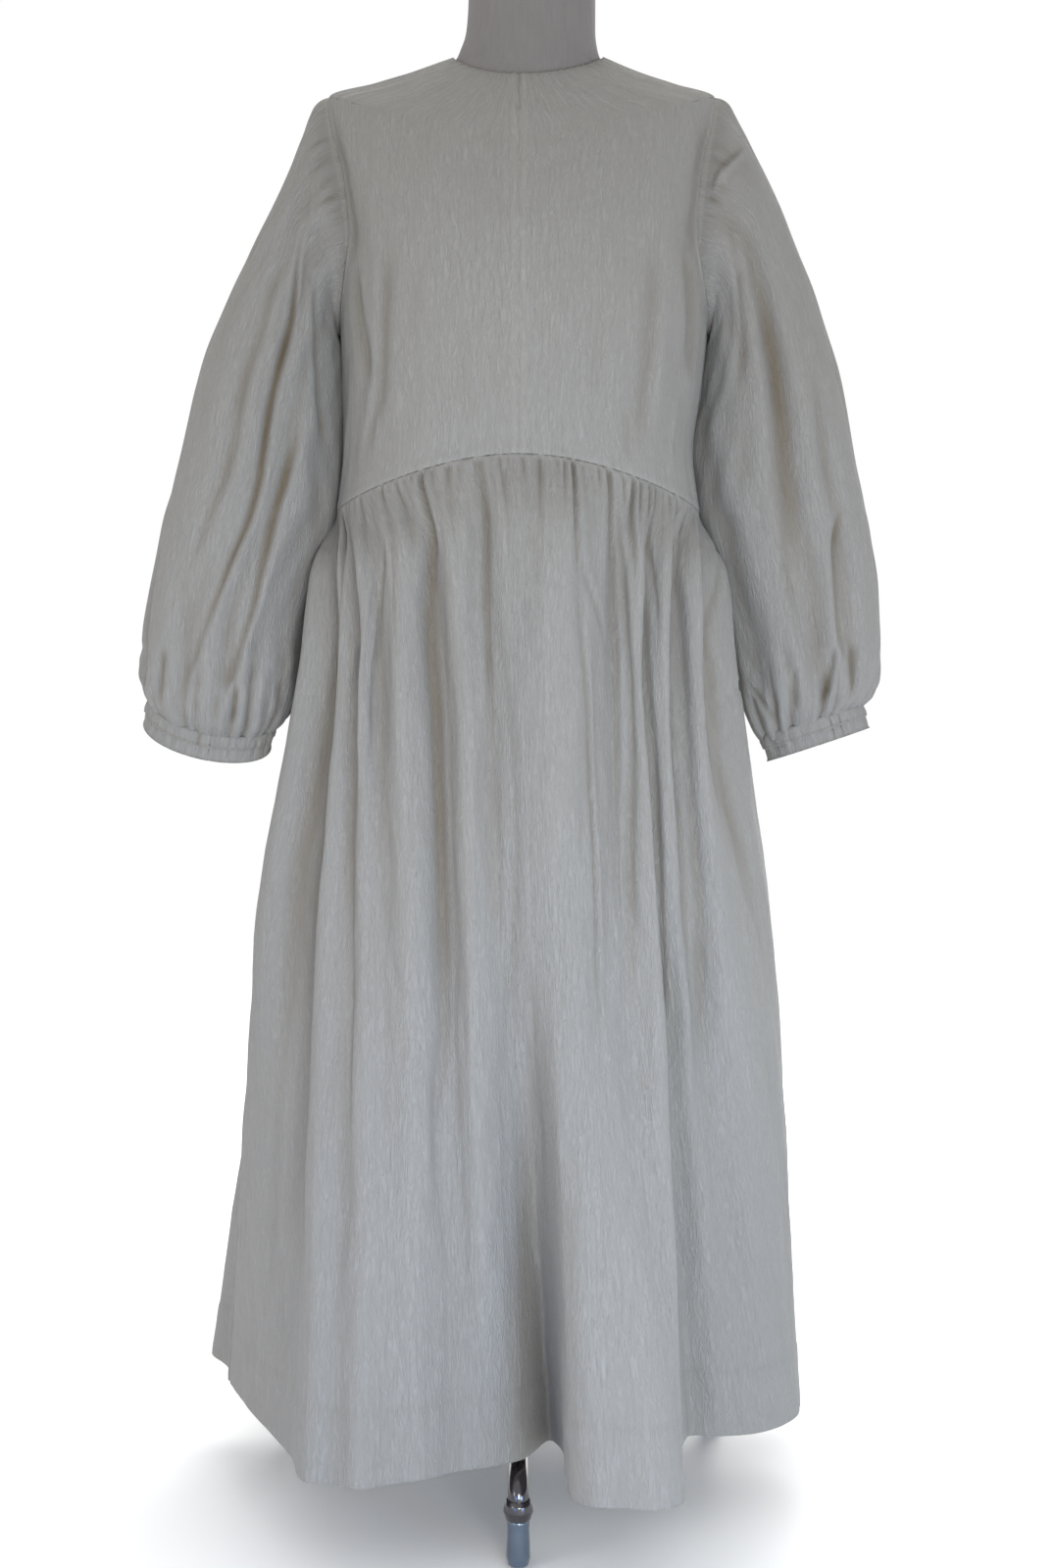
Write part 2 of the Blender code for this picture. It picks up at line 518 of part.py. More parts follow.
def make_bodice(material):
    """The two front panels, which meet at the front's middle, and the back panel between the sides."""
    bodice_panel("bodice_front_left", lambda p: armhole_turn(-1, p, 1), np.zeros_like,
                 BODICE_FRONT_STEPS, material)
    bodice_panel("bodice_front_right", np.zeros_like, lambda p: armhole_turn(1, p, 1),
                 BODICE_FRONT_STEPS, material)
    bodice_panel("bodice_back", lambda p: armhole_turn(1, p, -1),
                 lambda p: armhole_turn(-1, p, -1) + 2 * math.pi, BODICE_BACK_STEPS, material)


def seam_frame(side, angle, own):
    """Normals of a sleeve's first ring, and the ways out of the bodice's edge into the armhole.

    The normals are the bodice's own, and turn to the sleeve's where the sleeve folds back underneath.
    """
    turn, at = armhole(side, angle)
    normal = normals_of(bodice_surface, turn, at)
    outward = np.stack([np.sin(turn), -np.cos(turn), np.zeros_like(turn)], -1)
    normal = normal * np.sign((normal * outward).sum(-1, keepdims=True))
    edge = bodice_surface(turn, at)
    along = np.roll(edge, -1, axis=0) - np.roll(edge, 1, axis=0)
    way = np.cross(normal, along)
    way = way * np.sign((way * (edge.mean(axis=0) - edge)).sum(-1, keepdims=True))
    way = way / np.linalg.norm(way, axis=-1, keepdims=True)
    share = np.clip((np.cos(angle) - UNDERARM_COSINE) / UNDERARM_BLEND, 0, 1)[:, None]
    mixed = normal * share + own * (1 - share)
    return mixed / np.linalg.norm(mixed, axis=-1, keepdims=True), way


def make_sleeve(name, side, table, folds, material):
    """A sleeve and its cuff: the cuff carries on from the sleeve's last ring, leaning with it.

    The bodice's edge has a point at every second point of the sleeve's first ring, so the points in
    between lie half way along its straight edges.
    """
    columns_round = 2 * SLEEVE_GATHERS
    angle = np.arange(columns_round) * 2 * math.pi / columns_round
    at = np.array(SLEEVE_ROWS)
    grid = sleeve_surface(side, table, folds, angle[None], at[:, None])
    middle = grid.mean(axis=1, keepdims=True)
    normal = grid_normals(grid, True)
    normal = normal * np.sign((normal * (grid - middle)).sum())
    normal[0], way = seam_frame(side, angle, normal[0])
    grid[0] += way * SEAM
    for ring in (grid[0], normal[0]):
        ring[1::2] = (ring[0::2] + np.roll(ring[0::2], -1, axis=0)) / 2
    cloth("sleeve_" + name, grid, normal, material, closed=True)
    end = grid[-1]
    middle = end.mean(axis=0)
    tilt = end[0] - end[columns_round // 2]
    down = np.array([side * abs(tilt[2]), 0.0, -abs(tilt[0])]) / math.hypot(tilt[0], tilt[2])
    rings = []
    for share in (0.0, 0.5, 1.0):
        flare = 1 + CUFF_FLARE * share
        ring = middle + (end - middle) * flare + down * (SEAM + CUFF_HEIGHT * share)
        rings.append(ring)
    band = np.stack(rings)
    normal = grid_normals(band, True)
    facing = np.sign((normal * (band - band.mean(axis=1, keepdims=True))).sum())
    cloth("cuff_" + name, band, normal * facing, material, closed=True)


def make_skirt(material):
    """Both skirt panels from one closed surface, with gathers that fade out below the waist."""
    front_count, total = len(FRONT_FOLDS) - 1, len(FRONT_FOLDS) + len(BACK_FOLDS)
    front = np.arange(front_count * FRONT_STEPS) / FRONT_STEPS
    back = front_count + np.arange((total - front_count) * BACK_STEPS) / BACK_STEPS
    fold = np.concatenate([front, back])
    down = np.array(SKIRT_ROWS)
    grid = skirt_surface(fold, down)
    normal = grid_normals(grid, True)
    outward = grid * (1, 1, 0)
    normal = normal * np.sign((normal * outward).sum())
    ripple = np.where(np.arange(len(fold)) % 2 == 0, 1.0, -1.0)
    fade = np.minimum(down / GATHER_START, 1) * np.exp(-down / GATHER_FADE)
    grid = grid + normal * (GATHER_DEPTH * fade[:, None] * ripple[None])[..., None]
    normal = grid_normals(grid, True)
    normal = normal * np.sign((normal * outward).sum())
    split = len(front)
    front_columns = np.arange(split + 1)
    back_columns = np.append(np.arange(split, len(fold)), 0)
    for name, chosen in (("skirt_front", front_columns), ("skirt_back", back_columns)):
        panel = pull_edges(grid[:, chosen], True, True, False, False)
        cloth(name, panel, normal[:, chosen], material)


def plain_bodice(turn, at):
    """The bodice's surface without its creases."""
    return bodice_surface(turn, at, creased=False)


def make_form(material):
    """The dress form: rings below the waist, rings inside the bodice, and the neck, closed by flat ends."""
    turn = np.arange(FORM_SIDES) * 2 * math.pi / FORM_SIDES
    rings = []
    for z, side, front, back in FORM_BASE:
        depth = np.where(np.cos(turn) > 0, front, back)
        rings.append(np.stack([side * np.sin(turn), -depth * np.cos(turn), np.full_like(turn, z)], -1))
    table = columns(BODICE_COLUMNS, BODICE_RINGS)
    for at in FORM_ROWS:
        place = np.full_like(turn, at)
        normal = normals_of(plain_bodice, turn, place)
        outward = np.stack([np.sin(turn), -np.cos(turn), np.zeros_like(turn)], -1)
        normal = normal * np.sign((normal * outward).sum(-1, keepdims=True))
        ease = smooth(table["at"], table["ease"], place)[:, None]
        rings.append(plain_bodice(turn, place) - normal * ease)
    for z_front, z_side, radius, x, y in FORM_NECK:
        z = z_side + (z_front - z_side) * np.maximum(np.cos(turn), 0) ** NECK_POWER
        rings.append(np.stack([x + radius * np.sin(turn), y - radius * np.cos(turn), z], -1))
    vertices = np.concatenate(rings)
    faces = [tuple(range(FORM_SIDES)), tuple(range(len(vertices) - FORM_SIDES, len(vertices)))]
    for r in range(len(rings) - 1):
        for c in range(FORM_SIDES):
            a, b = r * FORM_SIDES + c, r * FORM_SIDES + (c + 1) % FORM_SIDES
            faces.append((a, b, b + FORM_SIDES, a + FORM_SIDES))
    new_object("form_torso", vertices, faces, material)


def turned(name, profile, sides, material, closed_profile=False):
    """A turned solid about +Z from radius and height pairs, with flat ends or as a closed ring."""
    turn = np.arange(sides) * 2 * math.pi / sides
    vertices = [(r * math.cos(a), r * math.sin(a), z) for r, z in profile for a in turn]
    count = len(profile)
    faces = []
    for r in range(count if closed_profile else count - 1):
        for c in range(sides):
            a, b = r * sides + c, r * sides + (c + 1) % sides
            d, e = (r + 1) % count * sides + c, (r + 1) % count * sides + (c + 1) % sides
            faces.append((a, b, e, d))
    if not closed_profile:
        faces.append(tuple(range(sides)))
        faces.append(tuple(range((count - 1) * sides, count * sides)))
    return new_object(name, vertices, faces, material)


def make_stand(black, foot_material):
    """The pole, its hub, and three legs with their feet, each leg turned about the pole."""
    top = FORM_BASE[0][0] - SEAM
    turned("stand_pole", [(POLE_RADIUS, HUB_TOP + SEAM), (POLE_RADIUS, top)], POLE_SIDES, black)
    narrow = HUB_RADIUS - HUB_CHAMFER
    turned("stand_hub", [(narrow, HUB_BOTTOM), (HUB_RADIUS, HUB_BOTTOM + HUB_CHAMFER),
                         (HUB_RADIUS, HUB_TOP - HUB_CHAMFER), (narrow, HUB_TOP)], HUB_SIDES, black)
    for name, degrees in LEG_TURNS:
        angle = math.radians(degrees)
        place = (FOOT_OUT * math.sin(angle), -FOOT_OUT * math.cos(angle), 0.0)
        make_leg("stand_leg_" + name, angle, black)
        foot = turned("stand_foot_" + name, FOOT_PROFILE, FOOT_SIDES, foot_material)
        foot.location = place
        collar = turned("stand_collar_" + name, COLLAR_PROFILE, FOOT_SIDES, black, closed_profile=True)
        collar.location = place


def make_leg(name, angle, material):
    """A leg: a round tube along the smooth curve through its path, straight inside the collar."""
    path = np.array(LEG_PATH)
    steps = np.append(0, np.cumsum(np.linalg.norm(np.diff(path, axis=0), axis=1)))
    fine = smooth(steps, path, np.append(np.linspace(0, steps[-2], LEG_STEPS), steps[-1]))
    curve = bpy.data.curves.new(name, "CURVE")
    curve.dimensions = "3D"
    spline = curve.splines.new("POLY")
    spline.points.add(len(fine) - 1)
    for point, (out, z) in zip(spline.points, fine):
        point.co = (0.0, -out, z, 1.0)
    curve.bevel_depth = LEG_RADIUS
    curve.bevel_resolution = LEG_BEVEL_STEPS
    curve.use_fill_caps = True
    curve.materials.append(material)
    leg = bpy.data.objects.new(name, curve)
    leg.rotation_euler.z = angle
    bpy.context.scene.collection.objects.link(leg)


def new_material(name, colour, roughness):
    """A plain material of a colour and a roughness."""
    material = bpy.data.materials.new(name)
    material.use_nodes = True
    shader = material.node_tree.nodes["Principled BSDF"]
    shader.inputs["Base Color"].default_value = (*colour, 1.0)
    shader.inputs["Roughness"].default_value = roughness
    return material


def main():
    """Empties the scene and builds the dress, the form and the stand in it."""
    for old in list(bpy.data.objects):
        bpy.data.objects.remove(old)
    crepe = new_material("cream_crepe", (0.62, 0.59, 0.50), 0.85)
    linen = new_material("form_linen", (0.30, 0.28, 0.30), 0.9)
    black = new_material("black_enamel", (0.015, 0.013, 0.014), 0.2)
    grey = new_material("grey_foot", (0.12, 0.15, 0.18), 0.3)
    make_bodice(crepe)
    make_sleeve("left", -1, SLEEVE_LEFT, LEFT_FOLDS, crepe)
    make_sleeve("right", 1, SLEEVE_RIGHT, RIGHT_FOLDS, crepe)
    make_skirt(crepe)
    make_form(linen)
    make_stand(black, grey)


main()
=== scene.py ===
# %% [markdown]
# # A midi dress on a dress form
#
# The dress is a cream crinkled crepe with a round neck, balloon sleeves on narrow cuffs and a full
# gathered skirt. It stands on a limbless form with a tripod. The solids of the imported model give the
# places and the sizes. Here each cloth piece is worked out again on a much finer grid, from the same
# formulas, so that its gathers, creases and seams can be shown.

# %% The fixed frame
import math

import bpy
import numpy as np
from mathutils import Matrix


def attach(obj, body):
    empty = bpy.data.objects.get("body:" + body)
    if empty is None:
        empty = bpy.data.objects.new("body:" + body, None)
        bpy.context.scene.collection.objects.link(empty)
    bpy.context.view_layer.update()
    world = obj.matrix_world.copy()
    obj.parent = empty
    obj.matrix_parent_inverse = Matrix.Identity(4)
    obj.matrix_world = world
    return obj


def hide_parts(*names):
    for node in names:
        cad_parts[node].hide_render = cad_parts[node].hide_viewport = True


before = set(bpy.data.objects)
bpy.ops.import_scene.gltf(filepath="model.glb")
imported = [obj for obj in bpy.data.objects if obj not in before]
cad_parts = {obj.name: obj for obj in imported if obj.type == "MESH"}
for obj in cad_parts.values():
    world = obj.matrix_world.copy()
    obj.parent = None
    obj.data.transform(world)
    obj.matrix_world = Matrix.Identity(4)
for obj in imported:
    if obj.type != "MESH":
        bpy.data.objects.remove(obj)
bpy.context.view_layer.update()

# %% [markdown]
# ## Camera and light
#
# The photograph was taken level, from about half way up the dress and 1.8 m in front of the pole. The
# light is soft: a bright white room and one lamp below the camera, drawn in to a beam, so that the
# folds show only as gentle steps and the shoulders are darker than the skirt. A weak warm lamp stands
# on the left, and a cool one near the floor on each side. One behind lights the back, and one overhead
# keeps the floor pale.

# %% Camera
EYE = (0.007, -1.8, 0.6255)
LENS_MM = 45.36
SENSOR_MM = 36.0

camera_data = bpy.data.cameras.new("camera")
camera_data.lens = LENS_MM
camera_data.sensor_width = SENSOR_MM
camera = bpy.data.objects.new("camera", camera_data)
camera.location = EYE
camera.rotation_euler = (math.radians(90), 0, 0)
bpy.context.scene.collection.objects.link(camera)
bpy.context.scene.camera = camera

# %% Light
ROOM_LIGHT = 1.0
# Each lamp's name, place, target, side in metres, watts, colour, and width of its beam in degrees.
LAMPS = [
    ("lamp_front", (0.20, -1.55, 0.38), (0.03, 0, 0.62), 0.5, 6.9, (0.91, 0.945, 1.0), 110),
    ("lamp_left", (-1.15, -1.3, 0.60), (0, 0, 0.65), 0.5, 3.4, (1.0, 0.96, 0.88), 180),
    ("lamp_right", (0.80, -1.30, 0.06), (0.05, 0, 0.16), 0.5, 3.8, (0.38, 0.62, 1.0), 90),
    ("lamp_low", (-0.60, -1.35, 0.06), (-0.10, 0, 0.16), 0.5, 1.5, (0.10, 0.35, 1.0), 90),
    ("lamp_behind", (0.9, 2.6, 0.9), (0, 0, 0.70), 1.0, 42, (1.0, 0.99, 0.96), 180),
    ("lamp_over", (0.0, 3.2, 4.5), (0, 3.2, 0.0), 3.0, 110, (1.0, 1.0, 1.0), 180),
]


def soft_lamp(name, place, target, size, watts, colour, beam):
    """A square lamp at a place, turned so that it shines at a target, in a beam of so many degrees."""
    data = bpy.data.lights.new(name, "AREA")
    data.shape = "SQUARE"
    data.size = size
    data.energy = watts
    data.color = colour
    data.spread = math.radians(beam)
    lamp = bpy.data.objects.new(name, data)
    lamp.location = place
    way = np.array(target) - np.array(place)
    level = math.hypot(way[0], way[1])
    lamp.rotation_euler = (math.pi / 2 + math.atan2(way[2], level), 0, math.atan2(-way[0], way[1]))
    bpy.context.scene.collection.objects.link(lamp)


for row in LAMPS:
    soft_lamp(*row)

world = bpy.data.worlds.new("studio")
world.use_nodes = True
background = world.node_tree.nodes["Background"]
background.inputs["Color"].default_value = (1.0, 1.0, 1.0, 1.0)
background.inputs["Strength"].default_value = ROOM_LIGHT
bpy.context.scene.world = world
bpy.context.scene.view_settings.view_transform = "Standard"

# %% [markdown]
# ## Writing materials as sums
#
# A material is a graph of nodes. Written out node by node it is hard to read, so a small class holds
# one socket and turns plus, minus and times into Math nodes. A second one makes any other node from
# its type, its settings and the values of its sockets.

# %% The two helpers for materials


class Level:
    """A number that varies over a surface: one socket, with arithmetic that adds Math nodes."""

    def __init__(self, finish, socket):
        self.finish = finish
        self.socket = socket

    def calculate(self, operation, first, second):
        """A Math node's result for two inputs, each a level or a number."""
        return self.finish.node("ShaderNodeMath", {"operation": operation}, {0: first, 1: second})

    def __add__(self, other):
        return self.calculate("ADD", self, other)

    def __radd__(self, other):
        return self.calculate("ADD", other, self)

    def __sub__(self, other):
        return self.calculate("SUBTRACT", self, other)

    def __rsub__(self, other):
        return self.calculate("SUBTRACT", other, self)

    def __mul__(self, other):
        return self.calculate("MULTIPLY", self, other)

    def __rmul__(self, other):
        return self.calculate("MULTIPLY", other, self)

    def __pow__(self, other):
        return self.calculate("POWER", self, other)

    def __abs__(self):
        return self.calculate("ABSOLUTE", self, 0.0)


class Finish:
    """A material with a Principled shader, and one method that adds any node to it."""

    def __init__(self, name):
        self.material = bpy.data.materials.new(name)
        self.material.use_nodes = True
        self.tree = self.material.node_tree
        self.shader = self.tree.nodes["Principled BSDF"]

    def put(self, socket, value):
        """Links a level or another socket to a socket, or sets the socket to a plain value."""
        if isinstance(value, Level):
            value = value.socket
        if isinstance(value, bpy.types.NodeSocket):
            self.tree.links.new(value, socket)
        else:
            socket.default_value = value

    def node(self, kind, settings, inputs, output=0):
        """A new node's output: its settings first, then the values or links of its sockets."""
        made = self.tree.nodes.new(kind)
        for setting, value in settings.items():
            setattr(made, setting, value)
        for key, value in inputs.items():
            self.put(made.inputs[key], value)
        return Level(self, made.outputs[output])

    def surface(self, values):
        """Sets or links the shader's own sockets."""
        for key, value in values.items():
            self.put(self.shader.inputs[key], value)
        return self

    def noise(self, place, scale, detail=2.0, roughness=0.5, distortion=0.0):
        """Soft noise from 0 to 1 at a place."""
        return self.node("ShaderNodeTexNoise", {}, {"Vector": place, "Scale": scale, "Detail": detail,
                                                    "Roughness": roughness, "Distortion": distortion})

    def stretched(self, place, across, along, deep=1.0):
        """A place with its three directions scaled, so that a pattern is long in one of them."""
        return self.node("ShaderNodeMapping", {}, {"Vector": place, "Scale": (across, along, deep)})

    def bump(self, strength, metres, height):
        """The surface's direction, tilted by a height from 0 to 1 that stands for so many metres."""
        return self.node("ShaderNodeBump", {}, {"Strength": strength, "Distance": metres, "Height": height})

    def object_place(self):
        """The place on the object, in metres."""
        return self.node("ShaderNodeTexCoord", {}, {}, "Object")

    def between(self, low, high, level):
        """A colour between two colours, by a level from 0 to 1."""
        made = self.tree.nodes.new("ShaderNodeMix")
        made.data_type = "RGBA"
        self.put(made.inputs["Factor"], level)
        self.put(made.inputs["A"], (*low, 1.0) if isinstance(low, tuple) else low)
        self.put(made.inputs["B"], (*high, 1.0) if isinstance(high, tuple) else high)
        return Level(self, made.outputs["Result"])


print("a level adds", [name for name in dir(Level) if name.startswith("__r") and name != "__repr__"])

# %% [markdown]
# ## The finishes
#
# Crinkled crepe is woven smooth and then shrunk, which leaves a bark-like relief: narrow ridges that
# run along the cloth, each a few millimetres wide and one to three centimetres long, never straight.
# Stretched noise folded at its middle gives such ridges; the colour is darker in their troughs and lighter
# on their tops as painted shade, over a tone that varies at random. The pattern reads each piece's own
# map in metres, so that it follows the cloth round the body and down the sleeves. Each cloth point also
# carries a number, its shade, which paints light and shade into the colour: painted shade makes the
# hollows of folds darker and browner than the cloth round them, and a painted highlight makes the doubled
# cloth beside a seam paler.

# %% Crepe
# Two creams, mixed by the crinkle's relief as painted shade in its troughs, and by random tone.
CREAM_LIGHT = (0.222, 0.217, 0.205)
CREAM_DARK = (0.150, 0.142, 0.126)
# The colours that the shade attribute paints: painted shade in hollows, and a painted highlight beside seams.
PAINTED_HOLLOW_SHADE = (0.080, 0.057, 0.027)
PAINTED_SEAM_HIGHLIGHT = (0.360, 0.342, 0.295)
# How fine each pattern is, in units to the metre across and along the cloth.
WANDER_SCALE = (70, 30)
SLOW_SCALE = (22, 9)
BARK_SCALE = (330, 62)
BROAD_SCALE = (120, 26)
GRAIN_SCALE = (1900, 1300)
CRINKLE_HEIGHT = 0.0016


def crepe_finish(name):
    """Cream crinkled crepe: ridged noise along the cloth, over the fine grain of its threads."""
    finish = Finish(name)
    cloth = finish.node("ShaderNodeUVMap", {"uv_map": "cloth"}, {})
    wander = finish.noise(finish.stretched(cloth, *WANDER_SCALE), 1.0, 1.0)
    slow = finish.noise(finish.stretched(cloth, *SLOW_SCALE), 1.0, 2.0)
    bark = finish.noise(finish.stretched(cloth, *BARK_SCALE), 1.0, 2.5, 0.55, 0.9)
    fold = abs(bark * 2 - 1) ** 0.8
    broad = finish.noise(finish.stretched(cloth, *BROAD_SCALE), 1.0, 1.5, 0.5, 0.5)
    grain = finish.noise(finish.stretched(cloth, *GRAIN_SCALE), 1.0, 1.0)
    strength = 0.55 + 1.0 * slow
    height = fold * strength * 0.55 + broad * 0.55 + grain * 0.10 + wander * 0.3
    bump = finish.bump(1.0, CRINKLE_HEIGHT, height)
    # Darker in the crinkle's troughs and lighter on its ridges as painted shade, with random tone from slow
    # and grain.
    shade = fold * 0.52 + slow * 0.34 + grain * 0.20
    colour = finish.between(CREAM_DARK, CREAM_LIGHT, shade + 0.12)
    # The shade attribute: above nothing it mixes in the painted hollow shade, below nothing the painted seam
    # highlight.
    depth = finish.node("ShaderNodeAttribute", {"attribute_name": "shade"}, {}, "Fac")
    colour = finish.between(colour, PAINTED_HOLLOW_SHADE, depth)
    colour = finish.between(colour, PAINTED_SEAM_HIGHLIGHT, 0.0 - depth)
    return finish.surface({"Base Color": colour, "Roughness": 0.86 - fold * 0.1, "Normal": bump,
                           "Sheen Weight": 0.12, "Sheen Roughness": 0.5})


crepe = crepe_finish("crinkled_crepe")
print("crepe nodes", len(crepe.tree.nodes))

# %% Linen of the form
LINEN_DARK = (0.096, 0.088, 0.085)
LINEN_LIGHT = (0.180, 0.166, 0.161)
LINEN_HEIGHT = 0.0004


def linen_finish():
    """Plain woven linen: two sets of fine waves across each other, with slubs and a grey-lilac cast."""
    finish = Finish("form_linen")
    place = finish.object_place()
    threads = [finish.node("ShaderNodeTexWave", {"bands_direction": way},
                           {"Vector": place, "Scale": 260.0, "Distortion": 2.2, "Detail": 2.0,
                            "Detail Scale": 1.5}) for way in ("X", "Z")]
    slub = finish.noise(finish.stretched(place, 240, 240, 30), 1.0, 2.0)
    slow = finish.noise(place, 14.0, 3.0)
    weave = threads[0] * 0.5 + threads[1] * 0.5
    bump = finish.bump(0.6, LINEN_HEIGHT, weave + slub * 0.5)
    colour = finish.between(LINEN_DARK, LINEN_LIGHT, weave * 0.35 + slub * 0.35 + slow * 0.4)
    return finish.surface({"Base Color": colour, "Roughness": 0.88, "Normal": bump,
                           "Sheen Weight": 0.1})


linen = linen_finish()
print("linen nodes", len(linen.tree.nodes))

# %% Enamel and the feet


def enamel_finish(name, dark, light, roughness, coat):
    """Glossy enamel or moulded plastic: nearly one colour, with faint clouding and fine scuffs."""
    finish = Finish(name)
    place = finish.object_place()
    cloud = finish.noise(place, 45.0, 3.0)
    scuff = finish.noise(finish.stretched(place, 700, 700, 90), 1.0, 3.0)
    bump = finish.bump(0.12, 0.0003, cloud)
    return finish.surface({"Base Color": finish.between(dark, light, cloud),
                           "Roughness": roughness + scuff * 0.12, "Normal": bump,
                           "Coat Weight": coat, "Coat Roughness": 0.08})


enamel = enamel_finish("black_enamel", (0.010, 0.008, 0.009), (0.022, 0.018, 0.020), 0.10, 0.6)
foot_grey = enamel_finish("grey_foot", (0.030, 0.045, 0.062), (0.055, 0.075, 0.100), 0.14, 0.8)


def floor_finish():
    """A pale painted floor with a barely visible cloudiness."""
    finish = Finish("pale_floor")
    place = finish.object_place()
    cloud = finish.noise(place, 3.0, 3.0)
    return finish.surface({"Base Color": finish.between((0.86, 0.86, 0.86), (0.89, 0.89, 0.88), cloud),
                           "Roughness": 0.7})


floor_pale = floor_finish()

# %% [markdown]
# ## Curves and grids
#
# Every cloth piece is a grid of points: rows along the cloth and columns round it. Its sizes stand in
# short tables with a row for each section of the body, and a smooth curve is read through each column
# of a table. A grid becomes a mesh with a map in metres, in which the finishes find their place.

# %% Reading tables as smooth curves


def smooth(knots, values, at):
    """A table's column as a smooth curve that never swings past its own values.

    Cubic pieces between the knots; the slope at a knot is the harmonic mean of its two neighbours'
    slopes, or none where the column turns round.
    """
    knots = np.asarray(knots, float)
    values = np.asarray(values, float)
    flat = values.reshape(len(knots), -1)
    step = np.diff(knots)[:, None]
    secant = np.diff(flat, axis=0) / step
    slope = np.zeros_like(flat)
    same = secant[1:] * secant[:-1] > 0
    total = np.where(same, secant[1:] + secant[:-1], 1.0)
    slope[1:-1] = np.where(same, 2 * secant[1:] * secant[:-1] / total, 0.0)
    slope[0], slope[-1] = secant[0], secant[-1]
    at = np.asarray(at, float)
    where = np.clip(np.searchsorted(knots, at.ravel(), side="right") - 1, 0, len(knots) - 2)
    u = ((at.ravel() - knots[where]) / step[where, 0])[:, None]
    low, high = flat[where], flat[where + 1]
    rise = slope[where] * step[where]
    fall = slope[where + 1] * step[where]
    out = (low * (1 + 2 * u) * (1 - u) ** 2 + high * u ** 2 * (3 - 2 * u)
           + rise * u * (1 - u) ** 2 - fall * u ** 2 * (1 - u))
    return out.reshape(at.shape + values.shape[1:])


def columns(names, rows):
    """A table as a dictionary of its named columns."""
    return {name: [row[i] for row in rows] for i, name in enumerate(names)}


def bell(distance):
    """1 at no distance, falling softly to nothing at about two widths."""
    return np.exp(-distance ** 2)


def ease(value):
    """0 below 0, 1 above 1, and a soft S in between."""
    value = np.clip(value, 0, 1)
    return value * value * (3 - 2 * value)


print("half way up a step", float(smooth((0, 1, 2), (0, 1, 1), 0.5)))

# %% Grids into meshes


def grid_normals(grid, closed=False):
    """Unit normals of a grid of points, from the steps to the neighbours."""
    if closed:
        across = np.roll(grid, -1, axis=1) - np.roll(grid, 1, axis=1)
    else:
        across = np.gradient(grid, axis=1)
    normal = np.cross(across, np.gradient(grid, axis=0))
    return normal / np.maximum(np.linalg.norm(normal, axis=-1, keepdims=True), 1e-12)


def facing(normal, outward):
    """The normals, all turned round if on the whole they point against the directions given."""
    return normal * np.sign((normal * outward).sum())


def repeated(rows, before, after):
    """A grid's values with its first row so many times more before it, and its last row after it."""
    return np.concatenate([rows[:1]] * before + [rows] + [rows[-1:]] * after)


def arc_map(grid):
    """A map in metres for a grid: mean distances across the columns and down the rows."""
    across = np.linalg.norm(np.diff(grid, axis=1), axis=-1).mean(axis=0)
    down = np.linalg.norm(np.diff(grid, axis=0), axis=-1).mean(axis=1)
    u = np.append(0, np.cumsum(across))
    v = np.append(0, np.cumsum(down))
    return np.stack(np.broadcast_arrays(u[None, :], v[:, None]), -1)


def new_mesh(name, points, faces, finish, corner_map, shade):
    """An object from points, faces of four corners, a map value for each corner, and a shade for each
    point or none."""
    mesh = bpy.data.meshes.new(name)
    mesh.vertices.add(len(points))
    mesh.vertices.foreach_set("co", np.asarray(points, np.float32).ravel())
    mesh.loops.add(faces.size)
    mesh.loops.foreach_set("vertex_index", faces.astype(np.int32).ravel())
    mesh.polygons.add(len(faces))
    mesh.polygons.foreach_set("loop_start", np.arange(0, faces.size, faces.shape[1], dtype=np.int32))
    mesh.update(calc_edges=True)
    layer = mesh.uv_layers.new(name="cloth")
    layer.data.foreach_set("uv", np.asarray(corner_map, np.float32).ravel())
    if shade is not None:
        layer = mesh.attributes.new("shade", "FLOAT", "POINT")
        layer.data.foreach_set("value", np.asarray(shade, np.float32).ravel())
    mesh.validate()
    mesh.shade_smooth()
    mesh.materials.append(finish.material)
    made = bpy.data.objects.new(name, mesh)
    bpy.context.scene.collection.objects.link(made)
    return made


def grid_object(name, grid, finish, outward, closed=False, cloth_map=None, shade=None):
    """A mesh of a grid's quads, facing the same way as the directions given for its points.

    On a closed grid the last column joins the first, and the map runs on past the last column.
    """
    if cloth_map is None:
        cloth_map = arc_map(np.concatenate([grid, grid[:, :1]], axis=1) if closed else grid)
    index = np.arange(grid.shape[0] * grid.shape[1]).reshape(grid.shape[:2])
    if closed:
        index = np.concatenate([index, index[:, :1]], axis=1)
    corners = [np.s_[:-1, :-1], np.s_[1:, :-1], np.s_[1:, 1:], np.s_[:-1, 1:]]
    faces = np.stack([index[c] for c in corners], -1).reshape(-1, 4)
    uv = np.stack([cloth_map[c] for c in corners], 2).reshape(-1, 4, 2)
    points = grid.reshape(-1, 3)
    corner = points[faces]
    normal = np.cross(corner[:, 2] - corner[:, 0], corner[:, 3] - corner[:, 1])
    way = outward.reshape(-1, 3)[faces[:, 0]]
    if (normal * way).sum() < 0:
        faces, uv = faces[:, ::-1], uv[:, ::-1]
    made = new_mesh(name, points, faces, finish, uv, shade)
    print(name, "triangles", 2 * len(faces))
    return made


def stands_for(piece, node):
    """A piece rides on the one body and hides the node that it stands for."""
    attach(piece, "root")
    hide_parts(node)


# %% [markdown]
# ## Relief
#
# Cloth is never quite smooth. Three kinds of relief lie on the large shapes: creases placed one by one,
# each a soft trough or step along its own line; gathers, which are short and sharp by a seam; and a
# faint unevenness all over, which is a sum of long low waves with drawn directions and phases.

# %% Relief helpers


